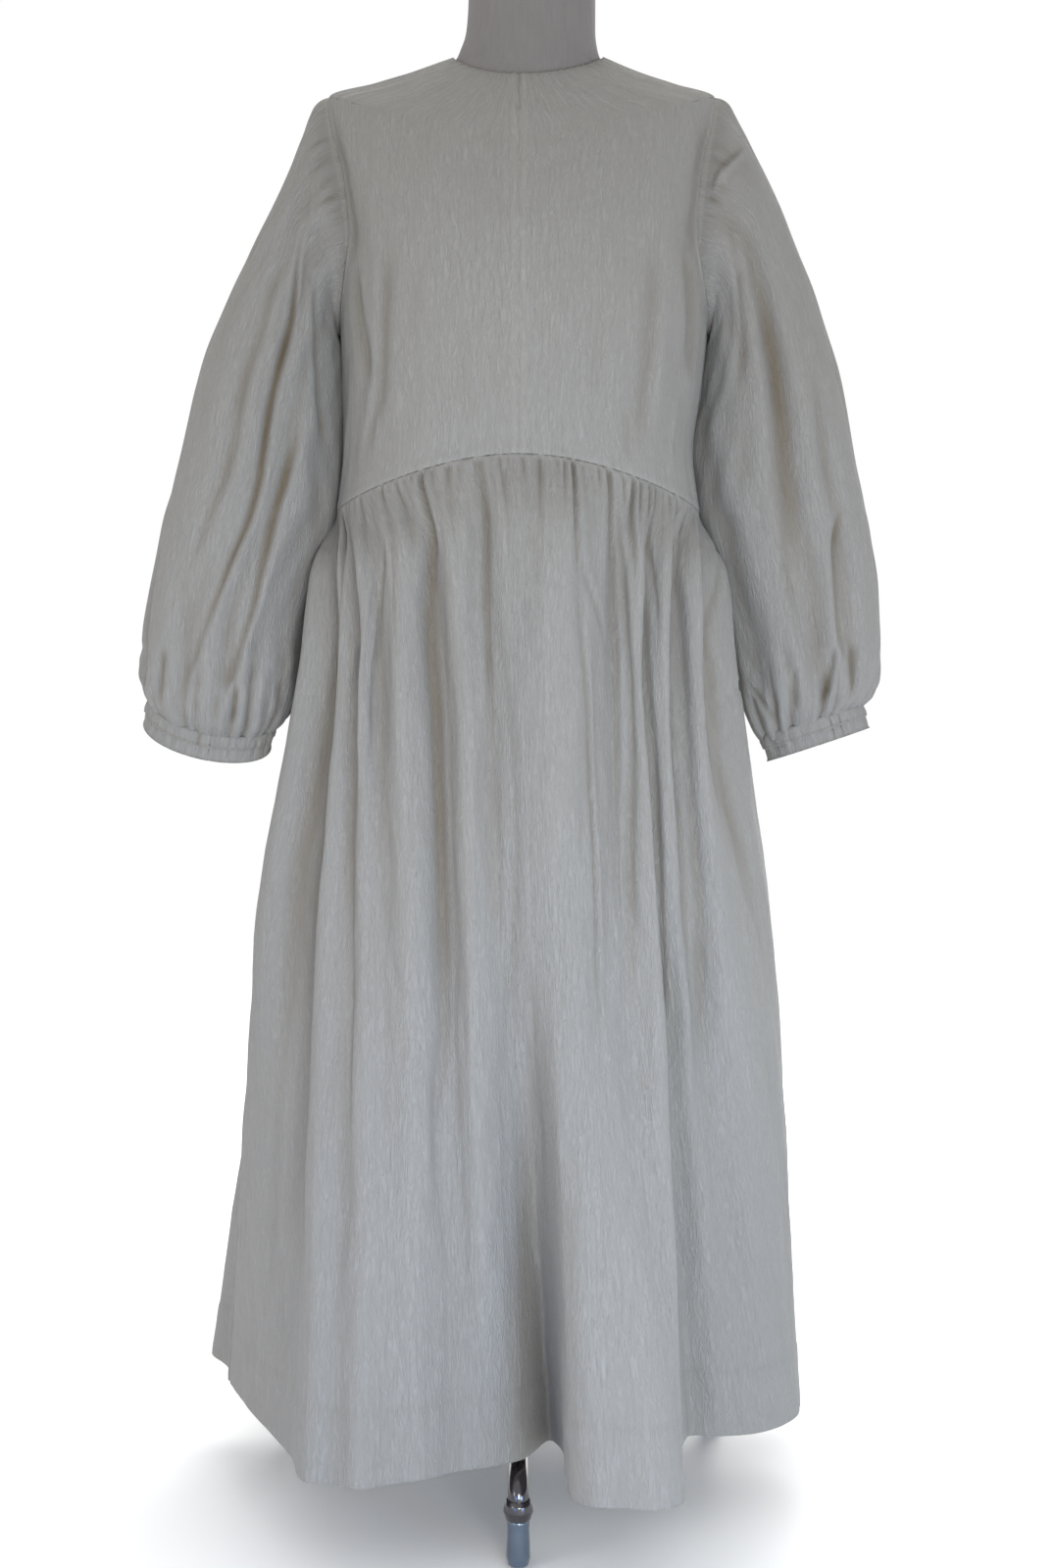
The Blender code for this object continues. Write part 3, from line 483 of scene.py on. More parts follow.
def unevenness(u, v, width, length, seed, waves=28):
    """Soft relief of about unit height: a sum of waves about width apart across and length along."""
    draw = np.random.default_rng(seed)
    total = np.zeros(np.broadcast(u, v).shape)
    for _ in range(waves):
        across = draw.uniform(0.6, 1.5) / width
        along = draw.normal(0, 1) / length
        total = total + np.cos(2 * math.pi * (u * across + v * along) + draw.uniform(0, 2 * math.pi))
    return total / math.sqrt(waves / 2)


def crease(offset, along, start, end, width, depth, step):
    """One crease: a trough of a depth and a step of a height across a line, fading at both ends.

    offset is the distance from the crease's line, along how far along the piece a point lies.
    """
    span = (along - start) / (end - start)
    fade = ease(span / 0.28) * ease((1 - span) / 0.28)
    near = offset / width
    return fade * (-depth * bell(near) + step * near * bell(near * 0.8) * 1.6)


def creases_on(table, across, along, metres):
    """The relief of a table of creases: each row has a name, width, depth, step and its line.

    The line is a list of places along the piece and across it; metres turns a step across into a
    distance.
    """
    total = np.zeros(np.broadcast(across, along).shape)
    for _, width, depth, step, line in table:
        places = [p for p, _ in line]
        middle = smooth(places, [q for _, q in line], np.clip(along, places[0], places[-1]))
        offset = (across - middle) * metres
        total = total + crease(offset, along, places[0], places[-1], width, depth, step)
    return total


# Its result is the mask of the painted shade in the cloth's hollows.
def hollows(distance, reach, depth):
    """How far each point of a closed grid lies inside its neighbours, from 0 to 1 at a depth.

    distance is each point's distance from the middle, and reach how many columns the neighbours span.
    """
    steps = np.arange(-2 * reach, 2 * reach + 1)
    weight = bell(steps / reach)
    mean = sum(w * np.roll(distance, k, axis=1) for w, k in zip(weight, steps)) / weight.sum()
    return np.clip((mean - distance) / depth, 0, 1)


print("a bell falls to", round(float(bell(1.0)), 3), "at one width")

# %% [markdown]
# ## The bodice
#
# The front is cut in two halves and joined down the middle, where the top four centimetres are left
# open as a slit. The back is one piece. Each ring of the bodice is an oval with its own reach to each
# side and to the front and back, a little squarer than an ellipse.

# %% The bodice's surface
SQUARENESS = 0.055
CREASE_LENGTH = 0.45
BODICE_COLUMNS = "at left right front back side_y z_front z_side z_back power ease".split()
BODICE_RINGS = [
    (0.00, 0.1657, 0.1630, 0.122, 0.096, 0.000, 0.9065, 0.8710, 0.872, 3.0, 0.0120),
    (0.12, 0.1605, 0.1570, 0.127, 0.098, 0.000, 0.9480, 0.9250, 0.925, 2.5, 0.0110),
    (0.27, 0.1605, 0.1650, 0.132, 0.103, 0.000, 1.0000, 0.9850, 0.985, 2.0, 0.0100),
    (0.42, 0.1620, 0.1710, 0.136, 0.111, 0.002, 1.0520, 1.0450, 1.045, 2.0, 0.0085),
    (0.55, 0.1640, 0.1725, 0.134, 0.117, 0.004, 1.0950, 1.1050, 1.100, 2.0, 0.0078),
    (0.67, 0.1690, 0.1750, 0.125, 0.118, 0.006, 1.1330, 1.1650, 1.155, 2.0, 0.0080),
    (0.76, 0.1745, 0.1780, 0.113, 0.112, 0.008, 1.1650, 1.2150, 1.200, 2.0, 0.0066),
    (0.82, 0.1740, 0.1785, 0.103, 0.100, 0.008, 1.1880, 1.2495, 1.232, 1.8, 0.0048),
    (0.88, 0.1320, 0.1420, 0.094, 0.086, 0.006, 1.2080, 1.2630, 1.252, 1.6, 0.0038),
    (0.94, 0.0950, 0.1070, 0.085, 0.073, 0.003, 1.2270, 1.2745, 1.270, 1.45, 0.0029),
    (1.00, 0.0600, 0.0762, 0.075, 0.062, 0.000, 1.2460, 1.2865, 1.285, 1.3, 0.0032),
]
BODICE_CREASES = [
    ("left of the bust", -68, 0.36, -78, 0.14, 7, 0.0030),
    ("under the left bust", -50, 0.40, -60, 0.10, 6, 0.0026),
    ("left hollow by the armhole", -60, 0.62, -64, 0.46, 9, 0.0030),
    ("right hollow by the armhole", 60, 0.62, 64, 0.46, 9, 0.0030),
    ("under the right bust", 52, 0.40, 60, 0.12, 6, 0.0026),
    ("right waist", 42, 0.30, 46, 0.06, 5, 0.0018),
    ("left back", -140, 0.30, -148, 0.05, 8, 0.0026),
    ("right back", 142, 0.32, 150, 0.05, 8, 0.0026),
]
UNDERARM_AT = 0.40
SHOULDER_AT = 0.82
ARMHOLE_FRONT = math.radians(24)
ARMHOLE_BACK = math.radians(26)


def bodice_surface(turn, at, creased=True):
    """A point of the bodice for a turn in radians and a place between the waist (0) and the neck (1)."""
    table = columns(BODICE_COLUMNS, BODICE_RINGS)
    turn, at = np.broadcast_arrays(np.asarray(turn, float), np.asarray(at, float))
    ring = {name: smooth(table["at"], table[name], at) for name in BODICE_COLUMNS[1:-1]}
    s, c = np.sin(turn), np.cos(turn)
    square = 1 + SQUARENESS * (1 - at ** 4) * np.sin(2 * turn) ** 2
    x = ((ring["right"] + ring["left"]) / 2 * s + (ring["right"] - ring["left"]) / 2 * s ** 2) * square
    y = -((ring["front"] + ring["back"]) / 2 * c + (ring["front"] - ring["back"]) / 2 * c ** 2) * square
    y = y + ring["side_y"] * s ** 2
    forward, backward = np.maximum(c, 0.0), np.maximum(-c, 0.0)
    z = ring["z_side"] + (ring["z_front"] - ring["z_side"]) * forward ** ring["power"]
    z = z + (ring["z_back"] - ring["z_side"]) * backward ** ring["power"]
    point = np.stack([x, y, z], -1)
    if creased:
        inward = np.stack([-s, c, np.zeros_like(s)], -1)
        point = point + inward * bodice_crease_depth(np.degrees(turn), at)[..., None]
    return point


def bodice_crease_depth(degrees, at):
    """How deep the bodice's broad creases are: each a bell across a line, fading at both ends."""
    depth = np.zeros_like(at)
    for _, turn_top, top, turn_low, low, width, deep in BODICE_CREASES:
        along = (top - at) / (top - low)
        line = turn_top + (turn_low - turn_top) * along
        aside = (degrees - line + 180) % 360 - 180
        depth = depth + deep * bell(aside / width) * bell((along - 0.5) / CREASE_LENGTH)
    return depth


def armhole_turn(side, place, forward):
    """The turn of the armhole's edge at a place, or the side itself above and below the armhole."""
    height = np.clip((place - UNDERARM_AT) / (SHOULDER_AT - UNDERARM_AT), 0, 1)
    bow = np.sqrt(np.clip(1 - (2 * height - 1) ** 2, 0, 1))
    reach = ARMHOLE_FRONT if forward else -ARMHOLE_BACK
    return side * (math.pi / 2 - reach * bow)


def outward_of(turn):
    """The level direction away from the pole for a turn."""
    return np.stack([np.sin(turn), -np.cos(turn), np.zeros_like(turn)], -1)


neck_front = bodice_surface(0.0, 1.0)
print("neckline at the front", neck_front.round(3))

# %% [markdown]
# The bodice's own small folds were measured on the photograph. Valleys run down from each side of the
# bust towards the waist, a fine tuck stands beside them, and faint upright lines cross the front. At
# every seam the cloth turns in a little, and beside the turn its doubled edge stands proud as a ridge,
# weaker at the middle seam, with a painted highlight on it. Painted shade darkens the creases' troughs,
# the slit and the puckered neck edge. The back is hidden in the photograph, so its folds are invented.

# %% The bodice's panels
SEAM_TUCK = 0.00035
SEAM_REACH = 0.0009
SEAM_RIDGE = 0.00075
RIDGE_AT = 0.0042
RIDGE_WIDTH = 0.0021
MIDDLE_SEAM = 0.75
# How strong the painted highlight beside seams is: on the ridge, at the seam's edge, and at the middle seam
# as a share.
SEAM_SHADE = 0.30
SEAM_EDGE_SHADE = 0.34
MIDDLE_SHADE = 0.28
FOLD_STRENGTH = 1.35
SLIT_AT = 0.885
SLIT_DEPTH = 0.0007
SLIT_HALF_WIDTH = 0.0012
NECK_PUCKER = 0.00030
BODY_WAVES = 0.00030
# Metres to one degree round the bodice, and the radius that its map is rolled out with.
BODY_DEGREE = 0.0026
MAP_RADIUS = 0.16
# Rows of a panel below, beside and above the armhole, and steps across a front and the back.
ROWS_BELOW, ROWS_BESIDE, ROWS_ABOVE = 60, 90, 40
FRONT_ACROSS, BACK_ACROSS = 92, 180
# The neck's edge turns in over four rows: how deep each lies and how far it rises.
NECK_TURN = ((0.0007, 0.0005), (0.0016, 0.0002), (0.0019, -0.0030), (0.0021, -0.0080))
FRONT_FINE = [
    ("left upper valley", 0.009, 0.0030, 0.0012, [(0.20, -49), (0.34, -54), (0.52, -58)]),
    ("left inner valley", 0.007, 0.0024, -0.0014, [(0.05, -55), (0.22, -46), (0.38, -44), (0.55, -42)]),
    ("left armhole hollow", 0.015, 0.0034, 0.0, [(0.50, -60), (0.66, -64), (0.80, -70)]),
    ("left tuck", 0.0022, -0.0012, 0.0, [(0.06, -47), (0.20, -47)]),
    ("left soft line", 0.005, 0.0006, 0.0, [(0.05, -30), (0.30, -32), (0.50, -31)]),
    ("right upper valley", 0.010, 0.0030, -0.0014, [(0.24, 62), (0.40, 58), (0.56, 54)]),
    ("right armhole hollow", 0.015, 0.0034, 0.0, [(0.50, 60), (0.66, 63), (0.80, 68)]),
    ("right dart line", 0.0022, -0.0014, 0.0, [(0.04, 52), (0.20, 57)]),
    ("right soft line", 0.008, 0.0016, 0.0010, [(0.03, 40), (0.30, 42), (0.55, 42)]),
    ("right waist line", 0.004, 0.0012, 0.0, [(0.02, 34), (0.14, 34)]),
    ("right inner line", 0.006, 0.0005, 0.0, [(0.10, 22), (0.42, 25)]),
    ("left inner line", 0.006, 0.0004, 0.0, [(0.06, -16), (0.36, -18)]),
]
BACK_FINE = [
    ("left blade", 0.010, 0.0014, 0.0006, [(0.30, 216), (0.50, 222), (0.68, 226)]),
    ("left waist", 0.007, 0.0014, -0.0006, [(0.02, 208), (0.20, 212), (0.36, 218)]),
    ("left waist line", 0.004, 0.0006, 0.0, [(0.02, 198), (0.24, 200)]),
    ("centre waist line", 0.005, 0.0007, 0.0, [(0.02, 178), (0.22, 180)]),
    ("right waist line", 0.004, 0.0006, 0.0, [(0.02, 163), (0.26, 161)]),
    ("right waist", 0.007, 0.0014, 0.0006, [(0.02, 152), (0.22, 148), (0.38, 142)]),
    ("right blade", 0.010, 0.0014, -0.0006, [(0.32, 142), (0.52, 138), (0.68, 134)]),
    ("left side", 0.006, 0.0012, 0.0, [(0.04, 246), (0.20, 250), (0.36, 256)]),
    ("right side", 0.006, 0.0012, 0.0, [(0.04, 114), (0.22, 110), (0.36, 104)]),
]


def edge_distances(grid):
    """Each point's distance to the first column, last column, first row and last row of its grid."""
    across = np.cumsum(np.linalg.norm(np.diff(grid, axis=1, prepend=grid[:, :1]), axis=-1), axis=1)
    down = np.cumsum(np.linalg.norm(np.diff(grid, axis=0, prepend=grid[:1]), axis=-1), axis=0)
    return across, across[:, -1:] - across, down, down[-1:] - down


def seam_relief(distance):
    """A seam seen from its edge: the cloth turns in at the seam and stands proud of it beside."""
    ridge = bell((distance - RIDGE_AT) / RIDGE_WIDTH)
    return -SEAM_TUCK * bell(distance / SEAM_REACH) + SEAM_RIDGE * ridge


def bodice_panel(name, start, end, steps, fine, seed):
    """A bodice panel between two edges, with its creases, seams and a turned-in neck edge."""
    below = np.linspace(0, UNDERARM_AT, ROWS_BELOW)
    angle = np.linspace(math.pi, 0, ROWS_BESIDE)
    beside = UNDERARM_AT + (SHOULDER_AT - UNDERARM_AT) * (1 + np.cos(angle)) / 2
    above = np.linspace(SHOULDER_AT, 1, ROWS_ABOVE)
    place = np.concatenate([below, beside[1:], above[1:]])
    first, second = start(place), end(place)
    share = np.linspace(0, 1, steps + 1)
    turn = first[:, None] + (second - first)[:, None] * share[None]
    at = np.repeat(place[:, None], steps + 1, axis=1)
    grid = bodice_surface(turn, at)
    outward = outward_of(turn)
    normal = facing(grid_normals(grid), outward)
    left, right, low, high = edge_distances(grid)
    halved = [MIDDLE_SEAM if abs(edge(0.0) % (2 * math.pi)) < 0.1 else 1.0 for edge in (start, end)]
    relief = seam_relief(left) * halved[0] + seam_relief(right) * halved[1] + seam_relief(low)
    folds = FOLD_STRENGTH * creases_on(fine, np.degrees(turn), at, BODY_DEGREE)
    relief = relief + folds
    calm = ease((1 - at) / 0.12) * ease(left / 0.012) * ease(right / 0.012) * ease(low / 0.01)
    relief = relief + BODY_WAVES * calm * unevenness(turn * 0.15, grid[..., 2], 0.030, 0.14, seed)
    pucker = unevenness(turn * 0.07, 0 * at, 0.0075, 1.0, seed + 1, 8)
    relief = relief + NECK_PUCKER * pucker * bell(high / 0.010)
    slit = ease((at - SLIT_AT) / 0.01) * (np.minimum(left, right) < 0.01)
    middle = np.minimum(np.abs(turn), 0.2)
    slit = slit * bell(middle * 0.08 / SLIT_HALF_WIDTH)
    relief = relief - SLIT_DEPTH * slit
    # Painted shade in the creases' troughs and in the slit, and a darker dot at the slit's foot.
    shade = 0.30 * np.clip(-folds / 0.0034, 0, 1) + 0.14 * slit
    shade = shade + 0.30 * bell(middle * 0.12 / 0.0014) * bell((at - SLIT_AT) / 0.006)
    # Painted highlight beside each seam: on its ridge, and at its edge except at the middle seam.
    for edge, half in ((left, halved[0]), (right, halved[1])):
        strength = MIDDLE_SHADE if half < 1 else 1.0
        pale = SEAM_SHADE * bell((edge - RIDGE_AT) / RIDGE_WIDTH)
        shade = shade - strength * (pale + SEAM_EDGE_SHADE * bell(edge / 0.002) * (half == 1))
    # Painted shade along the puckered neck edge, and a painted highlight along the waist edge.
    shade = shade + 0.25 * bell(high / 0.0035) * (0.6 + 0.4 * pucker) - 0.10 * bell(low / 0.002)
    shade = repeated(shade, 0, len(NECK_TURN))
    outward = repeated(outward, 0, len(NECK_TURN))
    grid = grid + normal * relief[..., None]
    flat_map = np.stack([turn * MAP_RADIUS, grid[..., 2]], -1)
    turned = [grid[-1:] - normal[-1:] * deep + np.array([0, 0, rise]) for deep, rise in NECK_TURN]
    turned_map = [flat_map[-1:] + np.array([0, 0.002 * (i + 1)]) for i in range(len(NECK_TURN))]
    grid = np.concatenate([grid, *turned])
    whole_map = np.concatenate([flat_map, *turned_map])
    return grid_object(name, grid, crepe, outward, cloth_map=whole_map, shade=shade)


bodice_left = bodice_panel("dress_front_left", lambda p: armhole_turn(-1, p, True), np.zeros_like,
                           FRONT_ACROSS, FRONT_FINE, 11)
bodice_right = bodice_panel("dress_front_right", np.zeros_like, lambda p: armhole_turn(1, p, True),
                            FRONT_ACROSS, FRONT_FINE, 12)
bodice_back = bodice_panel("dress_back", lambda p: armhole_turn(1, p, False),
                           lambda p: armhole_turn(-1, p, False) + 2 * math.pi,
                           BACK_ACROSS, BACK_FINE, 13)
stands_for(bodice_left, "bodice_front_left")
stands_for(bodice_right, "bodice_front_right")
stands_for(bodice_back, "bodice_back")

# %% [markdown]
# ## Sleeves
#
# A balloon sleeve is a tube, wider than the arm, gathered into the armhole above and into the cuff
# below. The table holds the two ends of each ring as seen from the front, and how far it reaches
# forwards and backwards. Long folds run down it, and each ring's gathers are waves round it.

# %% The sleeve's surface
SLEEVE_COLUMNS = "at outer_x outer_z inner_x inner_z mid_y front back".split()
SLEEVE_LEFT = [
    (0.00, 0.1770, 1.2490, 0.1640, 1.0340, 0.006, 0.052, 0.056),
    (0.05, 0.1950, 1.2300, 0.1675, 1.0290, 0.005, 0.060, 0.062),
    (0.11, 0.2080, 1.1900, 0.1690, 1.0180, 0.003, 0.064, 0.065),
    (0.20, 0.2330, 1.1340, 0.1690, 1.0000, 0.000, 0.067, 0.068),
    (0.32, 0.2620, 1.0720, 0.1690, 0.9700, -0.003, 0.069, 0.070),
    (0.45, 0.2900, 0.9980, 0.1690, 0.9350, -0.006, 0.071, 0.072),
    (0.58, 0.3090, 0.9150, 0.1700, 0.8900, -0.009, 0.072, 0.072),
    (0.69, 0.3240, 0.8590, 0.1810, 0.8460, -0.009, 0.072, 0.072),
    (0.80, 0.3360, 0.8000, 0.1920, 0.7880, -0.011, 0.070, 0.069),
    (0.89, 0.3425, 0.7520, 0.1960, 0.7400, -0.015, 0.064, 0.062),
    (0.95, 0.3430, 0.7260, 0.2020, 0.7060, -0.017, 0.052, 0.050),
    (0.985, 0.3390, 0.7110, 0.2110, 0.6870, -0.018, 0.036, 0.036),
    (1.00, 0.3342, 0.7039, 0.2188, 0.6801, -0.018, 0.027, 0.027),
]
SLEEVE_RIGHT = [
    (0.00, 0.1800, 1.2490, 0.1730, 1.0340, 0.006, 0.052, 0.056),
    (0.05, 0.1990, 1.2330, 0.1775, 1.0290, 0.008, 0.060, 0.062),
    (0.11, 0.2180, 1.1980, 0.1780, 1.0180, 0.010, 0.064, 0.065),
    (0.20, 0.2450, 1.1400, 0.1755, 1.0000, 0.013, 0.067, 0.068),
    (0.32, 0.2720, 1.0720, 0.1740, 0.9700, 0.015, 0.069, 0.070),
    (0.45, 0.2940, 0.9980, 0.1710, 0.9350, 0.017, 0.071, 0.072),
    (0.58, 0.3110, 0.9150, 0.1700, 0.8900, 0.018, 0.072, 0.072),
    (0.69, 0.3240, 0.8590, 0.1780, 0.8460, 0.019, 0.072, 0.072),
    (0.80, 0.3320, 0.8000, 0.1890, 0.7860, 0.020, 0.070, 0.069),
    (0.89, 0.3345, 0.7520, 0.1990, 0.7330, 0.020, 0.064, 0.062),
    (0.95, 0.3320, 0.7240, 0.2070, 0.6960, 0.020, 0.052, 0.050),
    (0.985, 0.3240, 0.7080, 0.2150, 0.6760, 0.020, 0.040, 0.040),
    (1.00, 0.3153, 0.6995, 0.2205, 0.6680, 0.020, 0.034, 0.034),
]
LEFT_FOLDS = [
    ("front long fold", 101, 103, 62, 13, 0.006, 0.008, 0.007),
    ("outer soft fold", 72, 79, 58, 12, 0.003, 0.005, 0.004),
    ("inner fold", 127, 150, 128, 14, 0.005, 0.006, 0.004),
    ("lower fold", 132, 122, 96, 11, 0.000, 0.008, 0.008),
    ("outer edge fold", 12, 20, 18, 14, 0.003, 0.002, 0.007),
    ("back fold", 236, 250, 262, 13, 0.005, 0.008, 0.007),
    ("back outer fold", 285, 292, 305, 13, 0.003, 0.006, 0.006),
    ("under fold", 205, 208, 222, 14, 0.002, 0.006, 0.006),
]
RIGHT_FOLDS = [
    ("front long fold", 88, 89, 90, 13, 0.004, 0.011, 0.014),
    ("outer fold", 54, 60, 64, 10, 0.000, 0.005, 0.008),
    ("inner fold", 124, 122, 112, 13, 0.004, 0.004, 0.004),
    ("under fold", 150, 150, 140, 12, 0.002, 0.003, 0.007),
    ("outer edge fold", 20, 15, 12, 13, 0.003, 0.002, 0.006),
    ("back fold", 240, 255, 268, 13, 0.005, 0.008, 0.007),
    ("back outer fold", 288, 298, 312, 13, 0.003, 0.006, 0.006),
    ("back under fold", 206, 212, 225, 14, 0.002, 0.006, 0.006),
]
ARMHOLE_BLEND = 0.14


def armhole(side, angle):
    """Turn and place of the armhole's edge: angle 0 at the shoulder, 90 front, 180 underarm."""
    place = UNDERARM_AT + (SHOULDER_AT - UNDERARM_AT) * (1 + np.cos(angle)) / 2
    forward = np.sin(angle)
    aside = np.where(forward > 0, ARMHOLE_FRONT * forward, ARMHOLE_BACK * forward)
    return side * (math.pi / 2 - aside), place


def sleeve_surface(side, table, folds, angle, at):
    """A point of a sleeve for an angle round it in radians and a place from armhole to cuff."""
    angle, at = np.broadcast_arrays(np.asarray(angle, float), np.asarray(at, float))
    point = sleeve_oval(side, table, folds, angle, at)
    start = sleeve_oval(side, table, folds, angle, np.zeros_like(at))
    edge = bodice_surface(*armhole(side, angle))
    fade = 1 - ease(at / ARMHOLE_BLEND)
    return point + (edge - start) * fade[..., None]


def sleeve_oval(side, table, folds, angle, at):
    """A sleeve's ring with its long folds, before it is bent to meet the armhole's edge."""
    data = columns(SLEEVE_COLUMNS, table)
    ring = {name: smooth(data["at"], data[name], at) for name in SLEEVE_COLUMNS[1:]}
    c, s = np.cos(angle), np.sin(angle)
    reach = np.hypot(ring["outer_x"] - ring["inner_x"], ring["outer_z"] - ring["inner_z"]) / 2
    narrow = np.minimum(reach, (ring["front"] + ring["back"]) / 2)
    pull = np.zeros_like(at)
    degrees = np.degrees(angle)
    for _, cap, half, cuff, width, deep_cap, deep_half, deep_cuff in folds:
        line = smooth((0, 0.5, 1), (cap, half, cuff), at)
        deep = smooth((0, 0.08, 0.5, 0.9, 1), (0, deep_cap, deep_half, deep_cuff, 0), at)
        pull = pull + deep * bell(((degrees - line + 180) % 360 - 180) / width)
    scale = 1 - pull / narrow
    middle_x = (ring["outer_x"] + ring["inner_x"]) / 2
    middle_z = (ring["outer_z"] + ring["inner_z"]) / 2
    depth = np.where(s > 0, ring["front"], ring["back"])
    x = middle_x + (ring["outer_x"] - ring["inner_x"]) / 2 * c * scale
    z = middle_z + (ring["outer_z"] - ring["inner_z"]) / 2 * c * scale
    y = ring["mid_y"] - depth * s * scale
    return np.stack([side * x, y, z], -1)


print("shoulder end of the left sleeve", sleeve_surface(-1, SLEEVE_LEFT, LEFT_FOLDS, 0.0, 0.0).round(3))

# %% [markdown]
# The cap of the sleeve is eased into the armhole with small gathers over the shoulder, and the wide
# lower end is drawn into the cuff by sharp ones of different depths. Between them lie a few sharper
# lines than the broad folds: where the cloth doubles over, one side of a fold stands above the other.

# %% The sleeves
SLEEVE_COLUMNS_ROUND = 300
# Metres to one degree round a sleeve, its radius, and its length.
SLEEVE_DEGREE = 0.00125
SLEEVE_RADIUS = 0.07
SLEEVE_LENGTH = 0.60
SHARP_STRENGTH = 1.6
SLEEVE_WAVES = 0.00045
CAP_GATHER_COUNT = 46
CAP_GATHER = 0.0011
CUFF_GATHER_COUNT = 21
CUFF_GATHER = 0.0030
CUFF_EDGE_GATHER = 0.0012
CRUMPLE = 0.0006
SEAM_SINK = 0.0004
UNDERARM_SINK = 0.0008
# How much lower the cuff's front is, by side: -1 left, 1 right.
CUFF_TILT = {-1: 0.022, 1: 0.0}
# Places along a sleeve, and how much nearer to the bodice its inner side rests there.
REST_AT = (0.04, 0.12, 0.20, 0.32, 0.45, 0.58, 0.69, 0.86)
REST_SHIFT = {-1: (0, 0.0082, 0.0086, 0.0084, 0.0084, 0.0070, 0.0105, 0),
              1: (0, 0.0088, 0.0086, 0.0100, 0.0126, 0.0094, 0.0080, 0)}
BEHIND_SHIFT = 0.011
SHOULDER_PUFF = 0.0046
LEFT_SHARP = [
    ("long fold's edge", 0.0042, 0.0022, 0.0016,
     [(0.03, 40), (0.10, 81), (0.28, 104), (0.51, 104), (0.66, 104), (0.76, 96), (0.86, 85), (0.985, 56)]),
    ("lower fold's edge", 0.0042, 0.0022, 0.0016,
     [(0.44, 132), (0.65, 121), (0.80, 120), (0.90, 110), (0.985, 95)]),
    ("soft outer line", 0.007, 0.0013, 0.0008,
     [(0.14, 68), (0.30, 80), (0.54, 80), (0.74, 70), (0.84, 62)]),
    ("inner line", 0.007, 0.0016, -0.0008, [(0.08, 109), (0.24, 131), (0.52, 154)]),
    ("cuff pucker", 0.0040, 0.0018, 0.0008, [(0.88, 53), (0.985, 48)]),
    ("cuff pucker inside", 0.0040, 0.0016, -0.0008, [(0.92, 109), (0.985, 108)]),
    ("under line", 0.006, 0.0016, 0.0008, [(0.20, 206), (0.60, 210), (0.94, 222)]),
    ("back line", 0.0045, 0.0020, -0.0014, [(0.06, 236), (0.50, 250), (0.98, 262)]),
    ("back outer line", 0.006, 0.0014, 0.0010, [(0.18, 286), (0.60, 294), (0.96, 305)]),
]
RIGHT_SHARP = [
    ("long fold's edge", 0.0110, 0.0028, -0.0016,
     [(0.10, 84), (0.35, 86), (0.59, 92), (0.79, 101), (0.90, 99), (0.985, 82)]),
    ("upper soft line", 0.007, 0.0014, 0.0006, [(0.05, 75), (0.12, 106), (0.37, 124)]),
    ("outer fold's edge", 0.0050, 0.0018, 0.0012, [(0.64, 52), (0.74, 69), (0.86, 72), (0.93, 63)]),
    ("cuff fork outside", 0.0042, 0.0020, 0.0010, [(0.87, 60), (0.985, 58)]),
    ("cuff fork inside", 0.0042, 0.0018, -0.0010, [(0.87, 73), (0.985, 86)]),
    ("cuff pucker inside", 0.0040, 0.0018, -0.0008, [(0.90, 110), (0.985, 112)]),
    ("inner end", 0.0050, 0.0016, 0.0010, [(0.92, 158), (0.985, 137)]),
    ("shoulder pinch", 0.0060, -0.0022, 0.0012, [(0.015, 72), (0.045, 62), (0.085, 38)]),
    ("under line", 0.006, 0.0016, 0.0008, [(0.20, 208), (0.60, 214), (0.94, 224)]),
    ("back line", 0.0045, 0.0020, -0.0014, [(0.06, 240), (0.50, 255), (0.98, 268)]),
    ("back outer line", 0.006, 0.0014, 0.0010, [(0.18, 288), (0.60, 300), (0.96, 312)]),
]


def gathers(angle, place, count, centre, reach, seed):
    """Gathers round a sleeve: count sharp troughs of drawn depths and lengths, at drawn places near
    even ones. Each is deepest at a centre along the sleeve and fades over its own reach."""
    draw = np.random.default_rng(seed)
    spacing = 2 * math.pi / count
    relief = np.zeros_like(angle)
    for i in range(count):
        middle = (i + draw.uniform(-0.40, 0.40)) * spacing
        width = spacing * draw.uniform(0.18, 0.42)
        deep = draw.uniform(0.25, 1.5) * bell((place - centre) / (reach * draw.uniform(0.5, 1.5)))
        offset = (angle - middle + math.pi) % (2 * math.pi) - math.pi
        trough = np.exp(-np.abs(offset / width) ** 1.3)
        relief = relief - deep * trough + deep * 0.5 * bell((np.abs(offset) - spacing / 2) / width)
    return relief


def settled(side, grid, angle, place):
    """A sleeve as it hangs: its inner side rests on the bodice, its end is lower in front."""
    degrees = np.degrees(angle) % 360
    rest = smooth(REST_AT, REST_SHIFT[side], np.clip(place, REST_AT[0], REST_AT[-1]))
    behind = BEHIND_SHIFT * bell((degrees - 212) / 24) * ease(rest / 0.006)
    puff = SHOULDER_PUFF * bell((place - 0.018) / 0.026) * bell(((degrees + 180) % 360 - 180) / 60)
    shift = side * (0.8 * puff - rest * bell((degrees - 180) / 55) - behind)
    fall = -CUFF_TILT[side] * np.sin(angle) * ease((place - 0.84) / 0.16)
    return grid + np.stack([shift, 0 * shift, fall + puff], -1)


